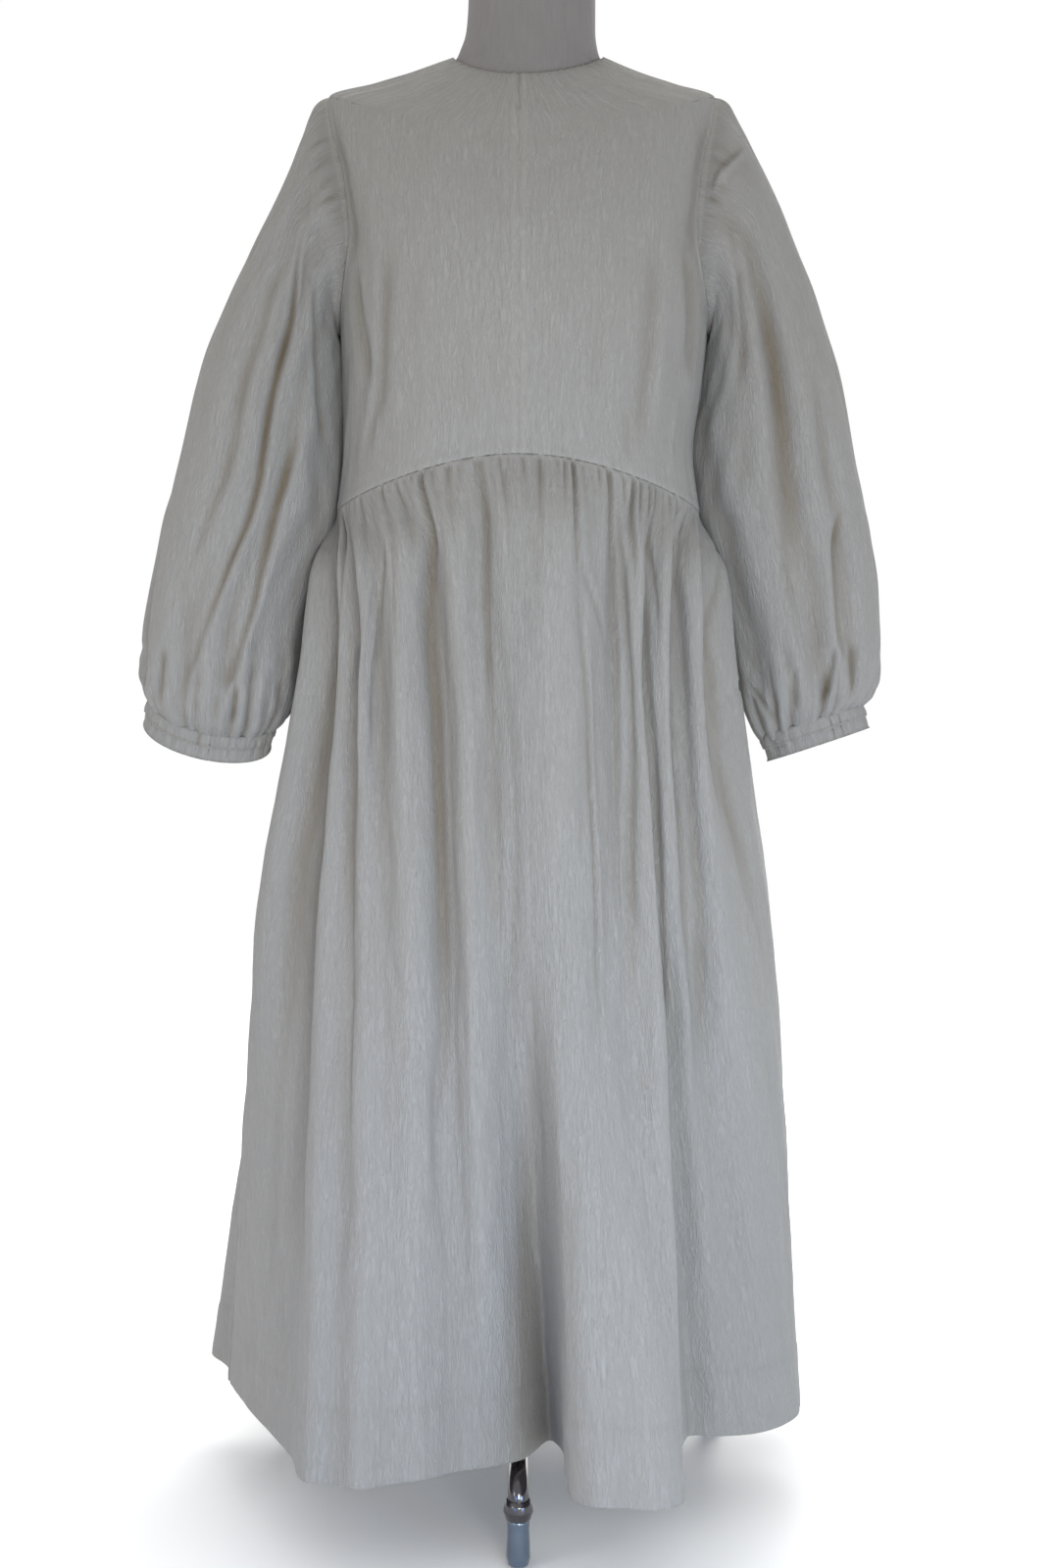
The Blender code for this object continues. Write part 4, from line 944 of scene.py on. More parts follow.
def make_sleeve(name, side, table, folds, sharp, seed):
    """A sleeve's fine surface, with its seam under the arm, and the ring that the cuff continues."""
    angle = math.pi + np.arange(SLEEVE_COLUMNS_ROUND) * 2 * math.pi / SLEEVE_COLUMNS_ROUND
    at = np.concatenate([np.linspace(0, 0.10, 44), np.linspace(0.10, 0.84, 150)[1:],
                         np.linspace(0.84, 1.0, 70)[1:]])
    turn, place = np.broadcast_arrays(angle[None], at[:, None])
    grid = settled(side, sleeve_surface(side, table, folds, turn, place), turn, place)
    middle = grid.mean(axis=1, keepdims=True)
    normal = facing(grid_normals(grid, closed=True), grid - middle)
    degrees = np.degrees(turn) % 360
    relief = SHARP_STRENGTH * creases_on(sharp, degrees, place, SLEEVE_DEGREE)
    # The crease troughs, as a mask for the painted shade below.
    creased = np.clip(-relief / 0.0065, 0, 1)
    body = ease(place / 0.08) * ease((1 - place) / 0.05)
    round_it, along = turn * SLEEVE_RADIUS, place * SLEEVE_LENGTH
    relief = relief + SLEEVE_WAVES * body * unevenness(round_it, along, 0.034, 0.15, seed)
    crumple = CRUMPLE * bell((place - 0.93) / 0.055) * ease((1 - place) / 0.02)
    relief = relief + crumple * unevenness(round_it, along, 0.032, 0.040, seed + 3, 20)
    over = ease((np.cos(turn) + 0.35) / 0.6)
    relief = relief + CAP_GATHER * over * gathers(turn, place, CAP_GATHER_COUNT, 0.018, 0.030, seed + 1)
    relief = relief + CUFF_GATHER * gathers(turn, place, CUFF_GATHER_COUNT, 0.960, 0.050, seed + 2)
    relief = relief + CUFF_EDGE_GATHER * gathers(turn, place, CUFF_GATHER_COUNT, 1.0, 0.030, seed + 2)
    tuck = np.linalg.norm(grid - grid[:1], axis=-1)
    relief = relief - SEAM_SINK * bell(tuck / 0.0014)
    underarm = np.minimum(np.abs(turn - math.pi), np.abs(turn - 3 * math.pi)) * SLEEVE_RADIUS
    relief = relief - UNDERARM_SINK * bell(underarm / 0.0012) * body
    grid = grid + normal * relief[..., None]
    back = grid[:1] - grid[3:4]
    back = back / np.linalg.norm(back, axis=-1, keepdims=True)
    inward = outward_of(armhole(side, angle)[0])[None]
    hidden = [grid[:1] + back * reach - inward * deep
              for reach, deep in ((0.0045, 0.0040), (0.0018, 0.0014))]
    away = np.linalg.norm(grid - middle, axis=-1)
    # Painted shade in the sleeve's hollows and its crease troughs, and a painted highlight along the armhole
    # seam.
    shade = 0.36 * hollows(away, 9, 0.0050) + 0.44 * hollows(away, 3, 0.0016) * ease(place / 0.03)
    shade = shade + 0.22 * creased - SEAM_EDGE_SHADE * bell(tuck / 0.0022)
    inside = [middle[-1:] + (grid[-1:] - middle[-1:]) * part - np.array([0, 0, deep])
              for part, deep in ((0.975, 0.0016), (0.95, 0.0060))]
    grid = np.concatenate([*hidden, grid, *inside])
    outward = grid - repeated(middle, len(hidden), len(inside))
    shade = repeated(shade, len(hidden), len(inside))
    made = grid_object(name, grid, crepe, outward, closed=True, shade=shade)
    end = np.ones_like(angle)
    return made, settled(side, sleeve_surface(side, table, folds, angle, end), angle, end)


sleeve_left, wrist_left = make_sleeve("dress_sleeve_left", -1, SLEEVE_LEFT, LEFT_FOLDS, LEFT_SHARP, 21)
sleeve_right, wrist_right = make_sleeve("dress_sleeve_right", 1, SLEEVE_RIGHT, RIGHT_FOLDS, RIGHT_SHARP, 31)
stands_for(sleeve_left, "sleeve_left")
stands_for(sleeve_right, "sleeve_right")

# %% [markdown]
# ## Cuffs
#
# A cuff is a straight strip folded along its middle, so it is a flat ring with rounded edges. A faint
# line runs round half way up, and where the strip's ends overlap one lies over the other.

# %% The cuffs
CUFF_HEIGHT = 0.024
CUFF_FLARE = 0.02
CUFF_WALL = 0.0022
CUFF_SIDES = 240
CUFF_ROUNDING = 0.0011
CUFF_WAVES = 0.0006
# The line round the cuff: how far down it runs, and how deep it is.
LINE_AT = 0.47
LINE_DEPTH = 0.0006
# The overlap: its length in degrees, how far it stands up, and how deep its edge cuts in.
LAP_DEGREES = 26
LAP_STEP = 0.0013
LAP_NOTCH = 0.0016


def make_cuff(name, side, ring, overlap, seed):
    """A cuff: its section is a narrow upright loop, carried round the sleeve's last ring."""
    steps = len(ring)
    share = np.arange(CUFF_SIDES) * steps / CUFF_SIDES
    round_it = np.concatenate([ring, ring[:1]])
    points = np.stack([np.interp(share, np.arange(steps + 1), round_it[:, i]) for i in range(3)], -1)
    for _ in range(6):
        points = (np.roll(points, 1, axis=0) + 2 * points + np.roll(points, -1, axis=0)) / 4
    middle = ring.mean(axis=0)
    outer, inner = ring[steps // 2], ring[0]
    tilt = outer - inner
    down = np.array([side * abs(tilt[2]), 0.0, -abs(tilt[0])]) / math.hypot(tilt[0], tilt[2])
    along = np.roll(points, -1, axis=0) - np.roll(points, 1, axis=0)
    out = np.cross(along, down)
    out = facing(out / np.linalg.norm(out, axis=-1, keepdims=True), points - middle)
    loop = np.linspace(0, 1, 41)[:-1]
    outside = loop < 0.5
    height = np.clip(np.abs(((loop + 0.25) % 1) * 2 - 1) * 1.04 - 0.02, 0, 1)
    face = np.where(outside, 0.0, -CUFF_WALL)
    rim = np.minimum(height, 1 - height) * CUFF_HEIGHT
    face = face + np.where(outside, -1, 1) * CUFF_WALL / 2 * bell(rim / CUFF_ROUNDING)
    face = face - np.where(outside, LINE_DEPTH, 0.0) * bell((height - LINE_AT) / 0.05)
    angle = np.arange(CUFF_SIDES) * 2 * math.pi / CUFF_SIDES
    wave = unevenness(np.cos(angle) * 0.08, np.sin(angle) * 0.08, 0.030, 0.030, seed, 12)
    flare = (points - middle) * CUFF_FLARE
    grid = points[None] + down * (height[:, None, None] * CUFF_HEIGHT - 0.0010)
    grid = grid + flare[None] * height[:, None, None]
    bulge = CUFF_WAVES * wave[None] * np.sin(np.pi * height)[:, None]
    lap = (np.degrees(angle) + 180) % 360
    step = ease((lap - overlap) / 2.2) * ease((overlap + LAP_DEGREES - lap) / 20) * LAP_STEP
    notch = -LAP_NOTCH * bell((lap - overlap) / 1.5)
    away = face[:, None] + bulge + step[None] + notch[None] * outside[:, None]
    grid = grid + out[None] * away[..., None]
    centre = grid.mean(axis=0, keepdims=True)
    grid = np.concatenate([grid, grid[:1]])
    # Painted shade in the groove round the cuff, along its top edge, and in the notch at the overlap's edge.
    line = 0.30 * bell((height - LINE_AT) / 0.04) * outside + 0.25 * bell(height / 0.05)
    shade = line[:, None] + 0.5 * bell((lap - overlap) / 1.2)[None] * outside[:, None]
    shade = np.concatenate([shade, shade[:1]])
    return grid_object(name, grid, crepe, grid - centre, closed=True, shade=shade)


cuff_left = make_cuff("dress_cuff_left", -1, wrist_left, 83, 41)
cuff_right = make_cuff("dress_cuff_right", 1, wrist_right, 262, 42)
stands_for(cuff_left, "cuff_left")
stands_for(cuff_right, "cuff_right")

# %% [markdown]
# ## The skirt
#
# Two wide panels are gathered into the waist seam and hang in deep folds. The table holds each fold
# line from the left side seam round to the back: its turn at the waist, the hip, half way and the hem,
# and its distance from the pole. At each level a closed curve runs through the lines in plan.

# %% The skirt's surface
SKIRT_COLUMNS = "name waist_turn hip_turn mid_turn hem_turn hip mid hem".split()
FRONT_FOLDS = [
    ("left side seam", -92, -89, -90, -92, 0.178, 0.238, 0.266),
    ("left front edge", -86, -69, -71, -66, 0.204, 0.240, 0.246),
    ("left pleat", -78, -60, -59, -44, 0.171, 0.204, 0.267),
    ("left lobe edge", -71, -55.5, -50, -34, 0.188, 0.221, 0.302),
    ("lobe dent", -65, -51, -43, -29.5, 0.174, 0.208, 0.294),
    ("lobe crest", -60, -47, -38, -25, 0.183, 0.213, 0.295),
    ("lobe right dent", -54, -44, -33, -21.5, 0.167, 0.205, 0.277),
    ("left panel crest", -46, -36, -26, -17, 0.174, 0.205, 0.259),
    ("left centre pleat", -37, -26.6, -18, -11.8, 0.150, 0.184, 0.233),
    ("centre left crest", -27, -18, -11, -7, 0.165, 0.198, 0.222),
    ("centre dent", -15, -10, -4.5, 1, 0.149, 0.184, 0.200),
    ("centre valley", -5, -3, 1, 10.5, 0.156, 0.186, 0.160),
    ("centre crest", 8, 7.5, 8.5, 7.9, 0.161, 0.196, 0.286),
    ("front fold left corner", 15, 15, 13.5, 10.5, 0.163, 0.200, 0.311),
    ("recess left side", 21.5, 22.5, 18.5, 14.5, 0.154, 0.196, 0.318),
    ("recess", 28, 28, 23, 19, 0.149, 0.192, 0.330),
    ("recess right pleat", 35.5, 32.6, 27, 22.5, 0.148, 0.192, 0.325),
    ("front fold edge", 41, 37.3, 33.5, 24.5, 0.169, 0.211, 0.308),
    ("front fold step", 46.5, 40.3, 37, 44, 0.157, 0.189, 0.203),
    ("right panel crest", 54, 44.5, 41.5, 50, 0.178, 0.206, 0.223),
    ("right pleat", 62.5, 49, 46, 56, 0.160, 0.198, 0.243),
    ("right crest", 69, 55, 53, 63, 0.188, 0.222, 0.253),
    ("right dent", 76, 61, 62, 70, 0.178, 0.226, 0.257),
    ("right front edge", 85, 76, 78, 80, 0.198, 0.230, 0.253),
    ("right side seam", 95, 92, 94, 94, 0.184, 0.228, 0.250),
]
BACK_FOLDS = [
    ("right back valley", 107, 106, 106, 107, 0.178, 0.214, 0.230),
    ("right back crest", 119, 119, 119, 120, 0.182, 0.235, 0.300),
    ("right back pleat", 131, 131, 132, 134, 0.163, 0.203, 0.222),
    ("right seat crest", 143, 143, 145, 147, 0.168, 0.232, 0.318),
    ("right seat pleat", 155, 156, 158, 160, 0.148, 0.196, 0.215),
    ("centre back crest", 167, 168, 169, 171, 0.160, 0.228, 0.312),
    ("centre back pleat", 179, 180, 182, 184, 0.143, 0.190, 0.205),
    ("left seat crest", 191, 192, 195, 197, 0.160, 0.226, 0.306),
    ("left seat pleat", 203, 204, 207, 210, 0.150, 0.198, 0.222),
    ("left back crest", 216, 217, 220, 223, 0.172, 0.236, 0.316),
    ("left back pleat", 229, 229, 232, 236, 0.167, 0.215, 0.250),
    ("left hem corner", 243, 243, 246, 249, 0.184, 0.248, 0.313),
    ("left back edge", 258, 260, 262, 260, 0.184, 0.240, 0.276),
]
HEM_Z = 0.079
WAIST_GAP = 0.0005
SKIRT_LEVELS = (0.0, 0.035, 0.08, 0.17, 0.5, 1.0)
SKIRT_PUFF = (0.42, 0.76)
SEAM_BULGE = 0.10


def fold_points():
    """The skirt's fold lines in plan at each level of the table: levels x folds x (x, y)."""
    table = columns(SKIRT_COLUMNS, FRONT_FOLDS + BACK_FOLDS)
    waist = np.radians(np.array(table["waist_turn"], float))
    at_waist = bodice_surface(waist, np.zeros_like(waist))[:, :2]
    rings = []
    for level in ("hip", "mid", "hem"):
        turn = np.radians(np.array(table[level + "_turn"], float))
        reach = np.array(table[level])
        rings.append(np.stack([reach * np.sin(turn), -reach * np.cos(turn)], -1))
    between = [at_waist + (rings[0] - at_waist) * part for part in SKIRT_PUFF]
    return np.stack([at_waist, *between, *rings]), waist


def round_curve(points, fold):
    """Closed curves through each level's fold points, read at fold numbers such as 3.25."""
    count = points.shape[1]
    low = np.floor(fold).astype(int)
    u = (fold - low)[None, :, None]
    low = low % count
    high = (low + 1) % count
    heading = np.roll(points, -1, axis=1) - np.roll(points, 1, axis=1)
    heading = heading / np.linalg.norm(heading, axis=-1, keepdims=True)
    length = np.linalg.norm(points[:, high] - points[:, low], axis=-1, keepdims=True)
    return (points[:, low] * (1 + 2 * u) * (1 - u) ** 2 + points[:, high] * u ** 2 * (3 - 2 * u)
            + heading[:, low] * length * u * (1 - u) ** 2 - heading[:, high] * length * u ** 2 * (1 - u))


def skirt_surface(fold, down):
    """The skirt's outer surface on a grid: fold numbers round it, and how far down it is (0 to 1)."""
    points, waist = fold_points()
    plan = round_curve(points, fold)
    xy = smooth(SKIRT_LEVELS, plan, down)
    turn = np.interp(fold, np.arange(len(waist) + 1), np.append(waist, waist[0] + 2 * math.pi))
    top = bodice_surface(turn, np.zeros_like(turn))
    leaving = np.sqrt(np.minimum(down / SKIRT_LEVELS[1], 1))
    leaving = (leaving * (1 - SEAM_BULGE * bell((down - 0.034) / 0.013)))[:, None, None]
    xy = top[None, :, :2] * (1 - leaving) + xy * leaving
    z = (top[:, 2] - WAIST_GAP)[None] * (1 - down[:, None]) + HEM_Z * down[:, None]
    return np.concatenate([xy, z[..., None]], -1)


print("folds", len(FRONT_FOLDS) - 1, "in front and", len(BACK_FOLDS) + 1, "behind")

# %% [markdown]
# Below the waist seam the cloth is drawn up in about ninety small gathers. Their places along the
# front were read from the photograph, in millimetres from the middle. Each is a sharp trough that opens
# out and fades after a few centimetres. Fifteen stronger ones run on into the folds, and similar ones
# stand behind.

# %% Gathers of the waist
FRONT_GATHERS_MM = [-156, -150, -144, -137, -130, -121, -114, -106, -99, -92, -84, -80, -74, -68, -61, -55,
                    -50, -43, -37, -31, -24, -18, -9, -3, 3, 11, 18, 25, 33, 39, 45, 54, 61, 68, 75, 82, 89,
                    97, 105, 112, 118, 125, 131, 137, 143, 149, 155]
BACK_GATHER_COUNT = 44
MAIN_COLUMNS = "place_mm depth length".split()
MAIN_GATHERS = [
    (-156, 0.0040, 0.110), (-140, 0.0030, 0.070), (-119, 0.0036, 0.090), (-84, 0.0056, 0.150),
    (-61, 0.0028, 0.060), (-33, 0.0036, 0.080), (-16, 0.0026, 0.055), (3, 0.0022, 0.045),
    (18, 0.0030, 0.060), (46, 0.0044, 0.110), (77, 0.0056, 0.150), (99, 0.0038, 0.100),
    (113, 0.0030, 0.070), (138, 0.0060, 0.160), (158, 0.0040, 0.090),
]
BACK_MAIN_EVERY = 3
LEAN_COLUMNS = "fold folds_per_metre".split()
GATHER_LEAN = [
    (0.0, 0), (2.0, -6), (3.5, -10), (5.4, -11), (8.9, -8), (10.4, -3), (11.5, 0), (13.1, 5), (14.9, 12),
    (17.0, 12), (19.5, 11), (21.5, 0), (23.7, -12), (25.0, 0),
]
LEAN_REACH = 0.11


def fold_of(places_mm):
    """Fold numbers of places along the front of the waist, in millimetres from the middle."""
    _, waist = fold_points()
    fine = np.linspace(0, len(FRONT_FOLDS) - 1, 400)
    turn = np.interp(fine, np.arange(len(waist)), waist)
    return np.interp(places_mm, bodice_surface(turn, np.zeros_like(turn))[:, 0] * 1000, fine)


def gather_places():
    """Fold numbers of all gathers: the front's from their distances to the middle, the back's even."""
    whole = len(FRONT_FOLDS) + len(BACK_FOLDS)
    back = np.linspace(len(FRONT_FOLDS) - 1, whole, BACK_GATHER_COUNT + 1)[:-1] + 0.15
    return np.concatenate([fold_of(FRONT_GATHERS_MM), back])


def pleat(offset, width):
    """A sharp trough with a rounded ridge on each side."""
    ridge = bell((np.abs(offset) - 2.3 * width) / (1.3 * width))
    return -np.exp(-np.abs(offset / width) ** 1.25) + 0.36 * ridge


def gather_relief(fold, down, length, pitch):
    """Relief of the gathers: many small ones by the seam, and longer ones that run on into the folds.

    length is the skirt's, from waist to hem, and pitch each row's mean distance between fold lines.
    Just below the seam the gathers lean across the fold lines, so that they hang upright.
    """
    draw = np.random.default_rng(5)
    total = np.zeros((len(down), len(fold)))
    count = len(FRONT_FOLDS) + len(BACK_FOLDS)
    metres = down[:, None] * length
    rise = ease(metres / 0.0035)
    main = columns(MAIN_COLUMNS, MAIN_GATHERS)
    small = [(place, draw.uniform(0.0005, 0.0030), 0.011 + 0.055 * draw.uniform(0, 1) ** 2)
             for place in gather_places()]
    back = gather_places()[len(FRONT_GATHERS_MM)::BACK_MAIN_EVERY]
    large = list(zip(fold_of(main["place_mm"]), main["depth"], main["length"]))
    large += [(place, draw.uniform(0.0030, 0.0058), draw.uniform(0.07, 0.16)) for place in back]
    lean = columns(LEAN_COLUMNS, GATHER_LEAN)
    turning = LEAN_REACH * np.tanh(metres / LEAN_REACH)
    for gathered, narrow, widening in ((small, 0.0012, 22), (large, 0.0017, 34)):
        for place, deep, reach in gathered:
            aside = np.interp(place, lean["fold"], lean["folds_per_metre"]) + draw.uniform(-3.5, 3.5)
            middle = place + aside * turning
            offset = ((fold[None] - middle + count / 2) % count - count / 2) * pitch
            width = narrow * draw.uniform(0.65, 1.6) * (1 + metres * widening)
            fade = rise * (1 - ease(metres / (2.4 * reach))) ** 2
            total = total + deep * fade * pleat(offset, width)
    return total


print("gathers", len(gather_places()))

# %% [markdown]
# The hem is deep: five centimetres of the cloth are turned up inside and sewn down with a line of small
# stitches, which shows outside as a faint furrow. The panel's rows therefore run on past the hem's edge
# and up again on the inside, like the cloth itself.

# %% The skirt's panels
HEM_DEPTH = 0.052
HEM_GAP = 0.0014
HEM_FURROW = 0.0007
HEM_SWELL = 0.0004
HEM_SHADE = 0.26
SLOW_WAVES = 0.00075
QUICK_WAVES = 0.00022
SIDE_TUCK = 0.0012
SIDE_RIDGE = 0.0004
FOLD_METRES = 0.038
FRONT_STEPS = 16
BACK_STEPS = 26
# How far down the rows are close together, how many lie above and below that, and a middle row.
CLOSE_DOWN = 0.14
ROWS_CLOSE, ROWS_WIDE = 62, 118
MIDDLE_ROW = 90
# Hidden rows: how deep and how high two lie above the seam, how deep and how low three lie round the
# hem's edge, and the rows that run up again inside it.
ABOVE_SEAM = ((0.0048, 0.0050), (0.0030, 0.0016))
HEM_EDGE = ((0.0002, 0.0005), (0.0007, 0.0007), (0.0012, 0.0005))
TURNED_UP = np.s_[-2:-14:-1]
SKIRT_CREASES = [
    ("left pleat's edge", 0.0055, 0.0030, 0.0020,
     [(0.012, 3.4), (0.12, 2.2), (0.24, 1.68), (0.42, 1.66), (0.71, 1.43), (0.95, 1.24)]),
    ("left soft fold", 0.0070, 0.0024, 0.0,
     [(0.03, 5.4), (0.12, 4.4), (0.22, 3.75), (0.50, 4.2), (0.79, 4.7)]),
    ("left ridge", 0.0050, -0.0018, 0.0, [(0.05, 6.2), (0.12, 5.4), (0.21, 4.9), (0.34, 4.8)]),
    ("left short valley", 0.0050, 0.0026, -0.0008, [(0.02, 7.2), (0.10, 6.2), (0.21, 5.6), (0.31, 5.5)]),
    ("left centre edge", 0.0055, 0.0038, 0.0022,
     [(0.004, 8.9), (0.06, 8.25), (0.13, 7.83), (0.27, 7.90), (0.54, 7.90), (0.67, 7.66), (0.85, 8.0)]),
    ("centre left valley", 0.0048, 0.0030, -0.0010,
     [(0.003, 10.4), (0.08, 10.1), (0.164, 9.97), (0.27, 9.95)]),
    ("centre soft valley", 0.0110, 0.0026, 0.0,
     [(0.10, 10.2), (0.34, 10.9), (0.70, 9.95), (0.84, 9.97), (0.97, 10.9)]),
    ("recess corner", 0.0100, 0.0020, 0.0010, [(0.004, 13.1), (0.106, 13.65), (0.152, 14.76), (0.195, 15.8)]),
    ("recess left edge", 0.0055, 0.0020, 0.0020, [(0.10, 13.4), (0.30, 14.08), (0.43, 14.23), (0.62, 14.3)]),
    ("recess right edge", 0.0055, 0.0036, -0.0022,
     [(0.0, 14.9), (0.096, 16.15), (0.24, 16.45), (0.425, 16.2), (0.58, 16.1)]),
    ("front fold's edge", 0.0055, 0.0016, 0.0012,
     [(0.03, 16.5), (0.144, 18.17), (0.31, 18.46), (0.52, 18.3), (0.74, 17.4), (0.98, 17.9)]),
    ("right short valley", 0.0045, 0.0024, 0.0, [(0.01, 17.0), (0.06, 18.0), (0.116, 18.48), (0.17, 18.7)]),
    ("right pleat's edge", 0.0055, 0.0042, -0.0022,
     [(0.01, 19.3), (0.06, 20.0), (0.12, 20.37), (0.25, 20.5), (0.42, 20.41), (0.58, 20.09), (0.68, 20.0)]),
    ("right hip line", 0.0050, 0.0028, 0.0012,
     [(0.004, 23.7), (0.07, 22.8), (0.146, 22.25), (0.184, 22.36), (0.26, 22.3)]),
    ("right hip fork", 0.0050, 0.0022, -0.0012, [(0.12, 24.5), (0.168, 24.1), (0.20, 23.0), (0.235, 22.0)]),
    ("right side soft", 0.0080, 0.0016, 0.0, [(0.30, 22.3), (0.60, 22.2), (0.92, 22.1)]),
    ("right back line", 0.0060, 0.0016, 0.0014, [(0.04, 25.0), (0.40, 25.0), (0.90, 25.0)]),
    ("right seat line", 0.0050, 0.0018, -0.0016, [(0.03, 27.0), (0.45, 27.0), (0.94, 27.1)]),
    ("seat line", 0.0050, 0.0018, 0.0016, [(0.03, 29.0), (0.50, 29.0), (0.90, 29.0)]),
    ("centre back line", 0.0050, 0.0020, -0.0018, [(0.02, 31.0), (0.50, 31.0), (0.95, 31.0)]),
    ("left seat line", 0.0050, 0.0018, 0.0016, [(0.03, 33.0), (0.45, 33.0), (0.92, 33.0)]),
    ("left back line", 0.0060, 0.0016, -0.0014, [(0.04, 35.0), (0.50, 35.0), (0.90, 35.0)]),
    ("back dimple", 0.0080, 0.0016, 0.0006, [(0.20, 30.1), (0.40, 29.9), (0.60, 30.2)]),
    ("left back soft", 0.0080, 0.0014, 0.0000, [(0.26, 34.1), (0.55, 34.0), (0.80, 34.1)]),
]


def carried_on(rows, way=1):
    """A grid's values over its hidden rows too: way is -1 where they point the other way inside."""
    shown = repeated(rows, len(ABOVE_SEAM), 0)
    return np.concatenate([shown] + [way * rows[-1:]] * len(HEM_EDGE) + [way * rows[TURNED_UP]])


def make_skirt():
    """Both panels from one closed surface, so that their side seams meet."""
    front_count, total = len(FRONT_FOLDS) - 1, len(FRONT_FOLDS) + len(BACK_FOLDS)
    front = np.arange(front_count * FRONT_STEPS) / FRONT_STEPS
    back = front_count + np.arange((total - front_count) * BACK_STEPS) / BACK_STEPS
    fold = np.concatenate([front, back])
    down = np.concatenate([np.linspace(0, CLOSE_DOWN, ROWS_CLOSE),
                           np.linspace(CLOSE_DOWN, 1, ROWS_WIDE)[1:]])
    grid = skirt_surface(fold, down)
    length = float(np.linalg.norm(np.diff(grid, axis=0), axis=-1).sum(axis=0).mean())
    outward = grid * (1, 1, 0)
    normal = facing(grid_normals(grid, closed=True), outward)
    ringed = np.concatenate([grid, grid[:, :1]], axis=1)
    pitch = np.linalg.norm(np.diff(ringed, axis=1), axis=-1).sum(axis=1, keepdims=True) / total
    relief = gather_relief(fold, down, length, pitch)
    relief = relief + creases_on(SKIRT_CREASES, fold[None], down[:, None], FOLD_METRES)
    low = ease(down / 0.05)[:, None]
    calm = 1 - 0.7 * ease((down - 0.80) / 0.15)[:, None]
    around = np.append(0, np.cumsum(np.linalg.norm(np.diff(grid[MIDDLE_ROW], axis=0), axis=-1)))[None]
    metres = down[:, None] * length
    relief = relief + SLOW_WAVES * low * calm * unevenness(around, metres, 0.060, 0.30, 51)
    relief = relief + QUICK_WAVES * low * calm * unevenness(around, metres, 0.018, 0.09, 52)
    above = (1 - down)[:, None] * length
    furrow = bell((above - HEM_DEPTH) / 0.0018)
    relief = relief - HEM_FURROW * furrow
    pucker = unevenness(around, metres, 0.022, 0.12, 53, 12)
    relief = relief + HEM_SWELL * pucker * bell((above - HEM_DEPTH + 0.006) / 0.012)
    relief = relief + HEM_SWELL * ease((HEM_DEPTH - above) / 0.004) * ease(above / 0.004)
    grid = grid + normal * relief[..., None]
    # Painted shade in the hollows of the folds and gathers, weaker lower down, and in the hem's furrow.
    away = np.hypot(grid[..., 0], grid[..., 1])
    upper = 1 - 0.75 * ease((down - 0.35) / 0.35)[:, None]
    shade = 0.22 * upper * hollows(away, 14, 0.011) + 0.38 * upper * hollows(away, 3, 0.0018)
    shade = shade * ease(down / 0.004)[:, None] + HEM_SHADE * furrow
    normal = facing(grid_normals(grid, closed=True), outward)
    up = np.array([0.0, 0.0, 1.0])
    top = [grid[:1] - normal[:1] * deep + up * rise for deep, rise in ABOVE_SEAM]
    edge = [grid[-1:] - normal[-1:] * deep - up * fall for deep, fall in HEM_EDGE]
    inside = grid[TURNED_UP] - normal[TURNED_UP] * HEM_GAP
    whole = np.concatenate([*top, grid, *edge, inside])
    whole_shade = np.pad(shade, ((len(top), len(edge) + len(inside)), (0, 0)))
    outward, face = carried_on(outward, -1), carried_on(normal)
    chosen = {"dress_skirt_front": np.arange(len(front) + 1),
              "dress_skirt_back": np.append(np.arange(len(front), len(fold)), 0)}
    made = []
    for name, at in chosen.items():
        panel = whole[:, at]
        left, right, _, _ = edge_distances(panel)
        side = bell(left / 0.0014) + bell(right / 0.0014)
        ring = bell((left - 0.005) / 0.003) + bell((right - 0.005) / 0.003)
        panel = panel + face[:, at] * (SIDE_RIDGE * ring - SIDE_TUCK * side)[..., None]
        made.append(grid_object(name, panel, crepe, outward[:, at], shade=whole_shade[:, at]))
    return made


skirt_front, skirt_back = make_skirt()
stands_for(skirt_front, "skirt_front")
stands_for(skirt_back, "skirt_back")

# %% [markdown]
# ## The form and its stand
#
# The form is a padded body covered with linen, with a neck but no head or arms. A seam runs round the
# neck above the collar line, and one runs up from it. The stand is enamelled tube: a pole under the
# form, a hub, and three legs that bend down into feet with a collar.

# %% The form
FORM_BASE = [
    (0.655, 0.152, 0.104, 0.108),
    (0.662, 0.158, 0.110, 0.114),
    (0.705, 0.166, 0.114, 0.122),
    (0.765, 0.166, 0.112, 0.121),
    (0.825, 0.158, 0.110, 0.108),
]
FORM_NECK = [
    (1.262, 1.2935, 0.0615, 0.0090, -0.006),
    (1.300, 1.3090, 0.0585, 0.0105, -0.005),
    (1.340, 1.3400, 0.0576, 0.0115, -0.004),
    (1.373, 1.3730, 0.0576, 0.0115, -0.004),
    (1.376, 1.3760, 0.0545, 0.0115, -0.004),
]
NECK_POWER = 1.3
FORM_AT = (0.03, 0.12, 0.22, 0.32, 0.42, 0.52, 0.62, 0.70, 0.76, 0.79, 0.82, 0.85, 0.88, 0.94, 1.0)
FORM_SIDES = 144
NECK_SEAM_Z = 1.2728
NECK_SEAM_TURN = math.radians(24)
NECK_SEAM_DEPTH = 0.0006
NECK_SEAM_WIDTH = 0.0009
ROWS_TO_A_RING = 8


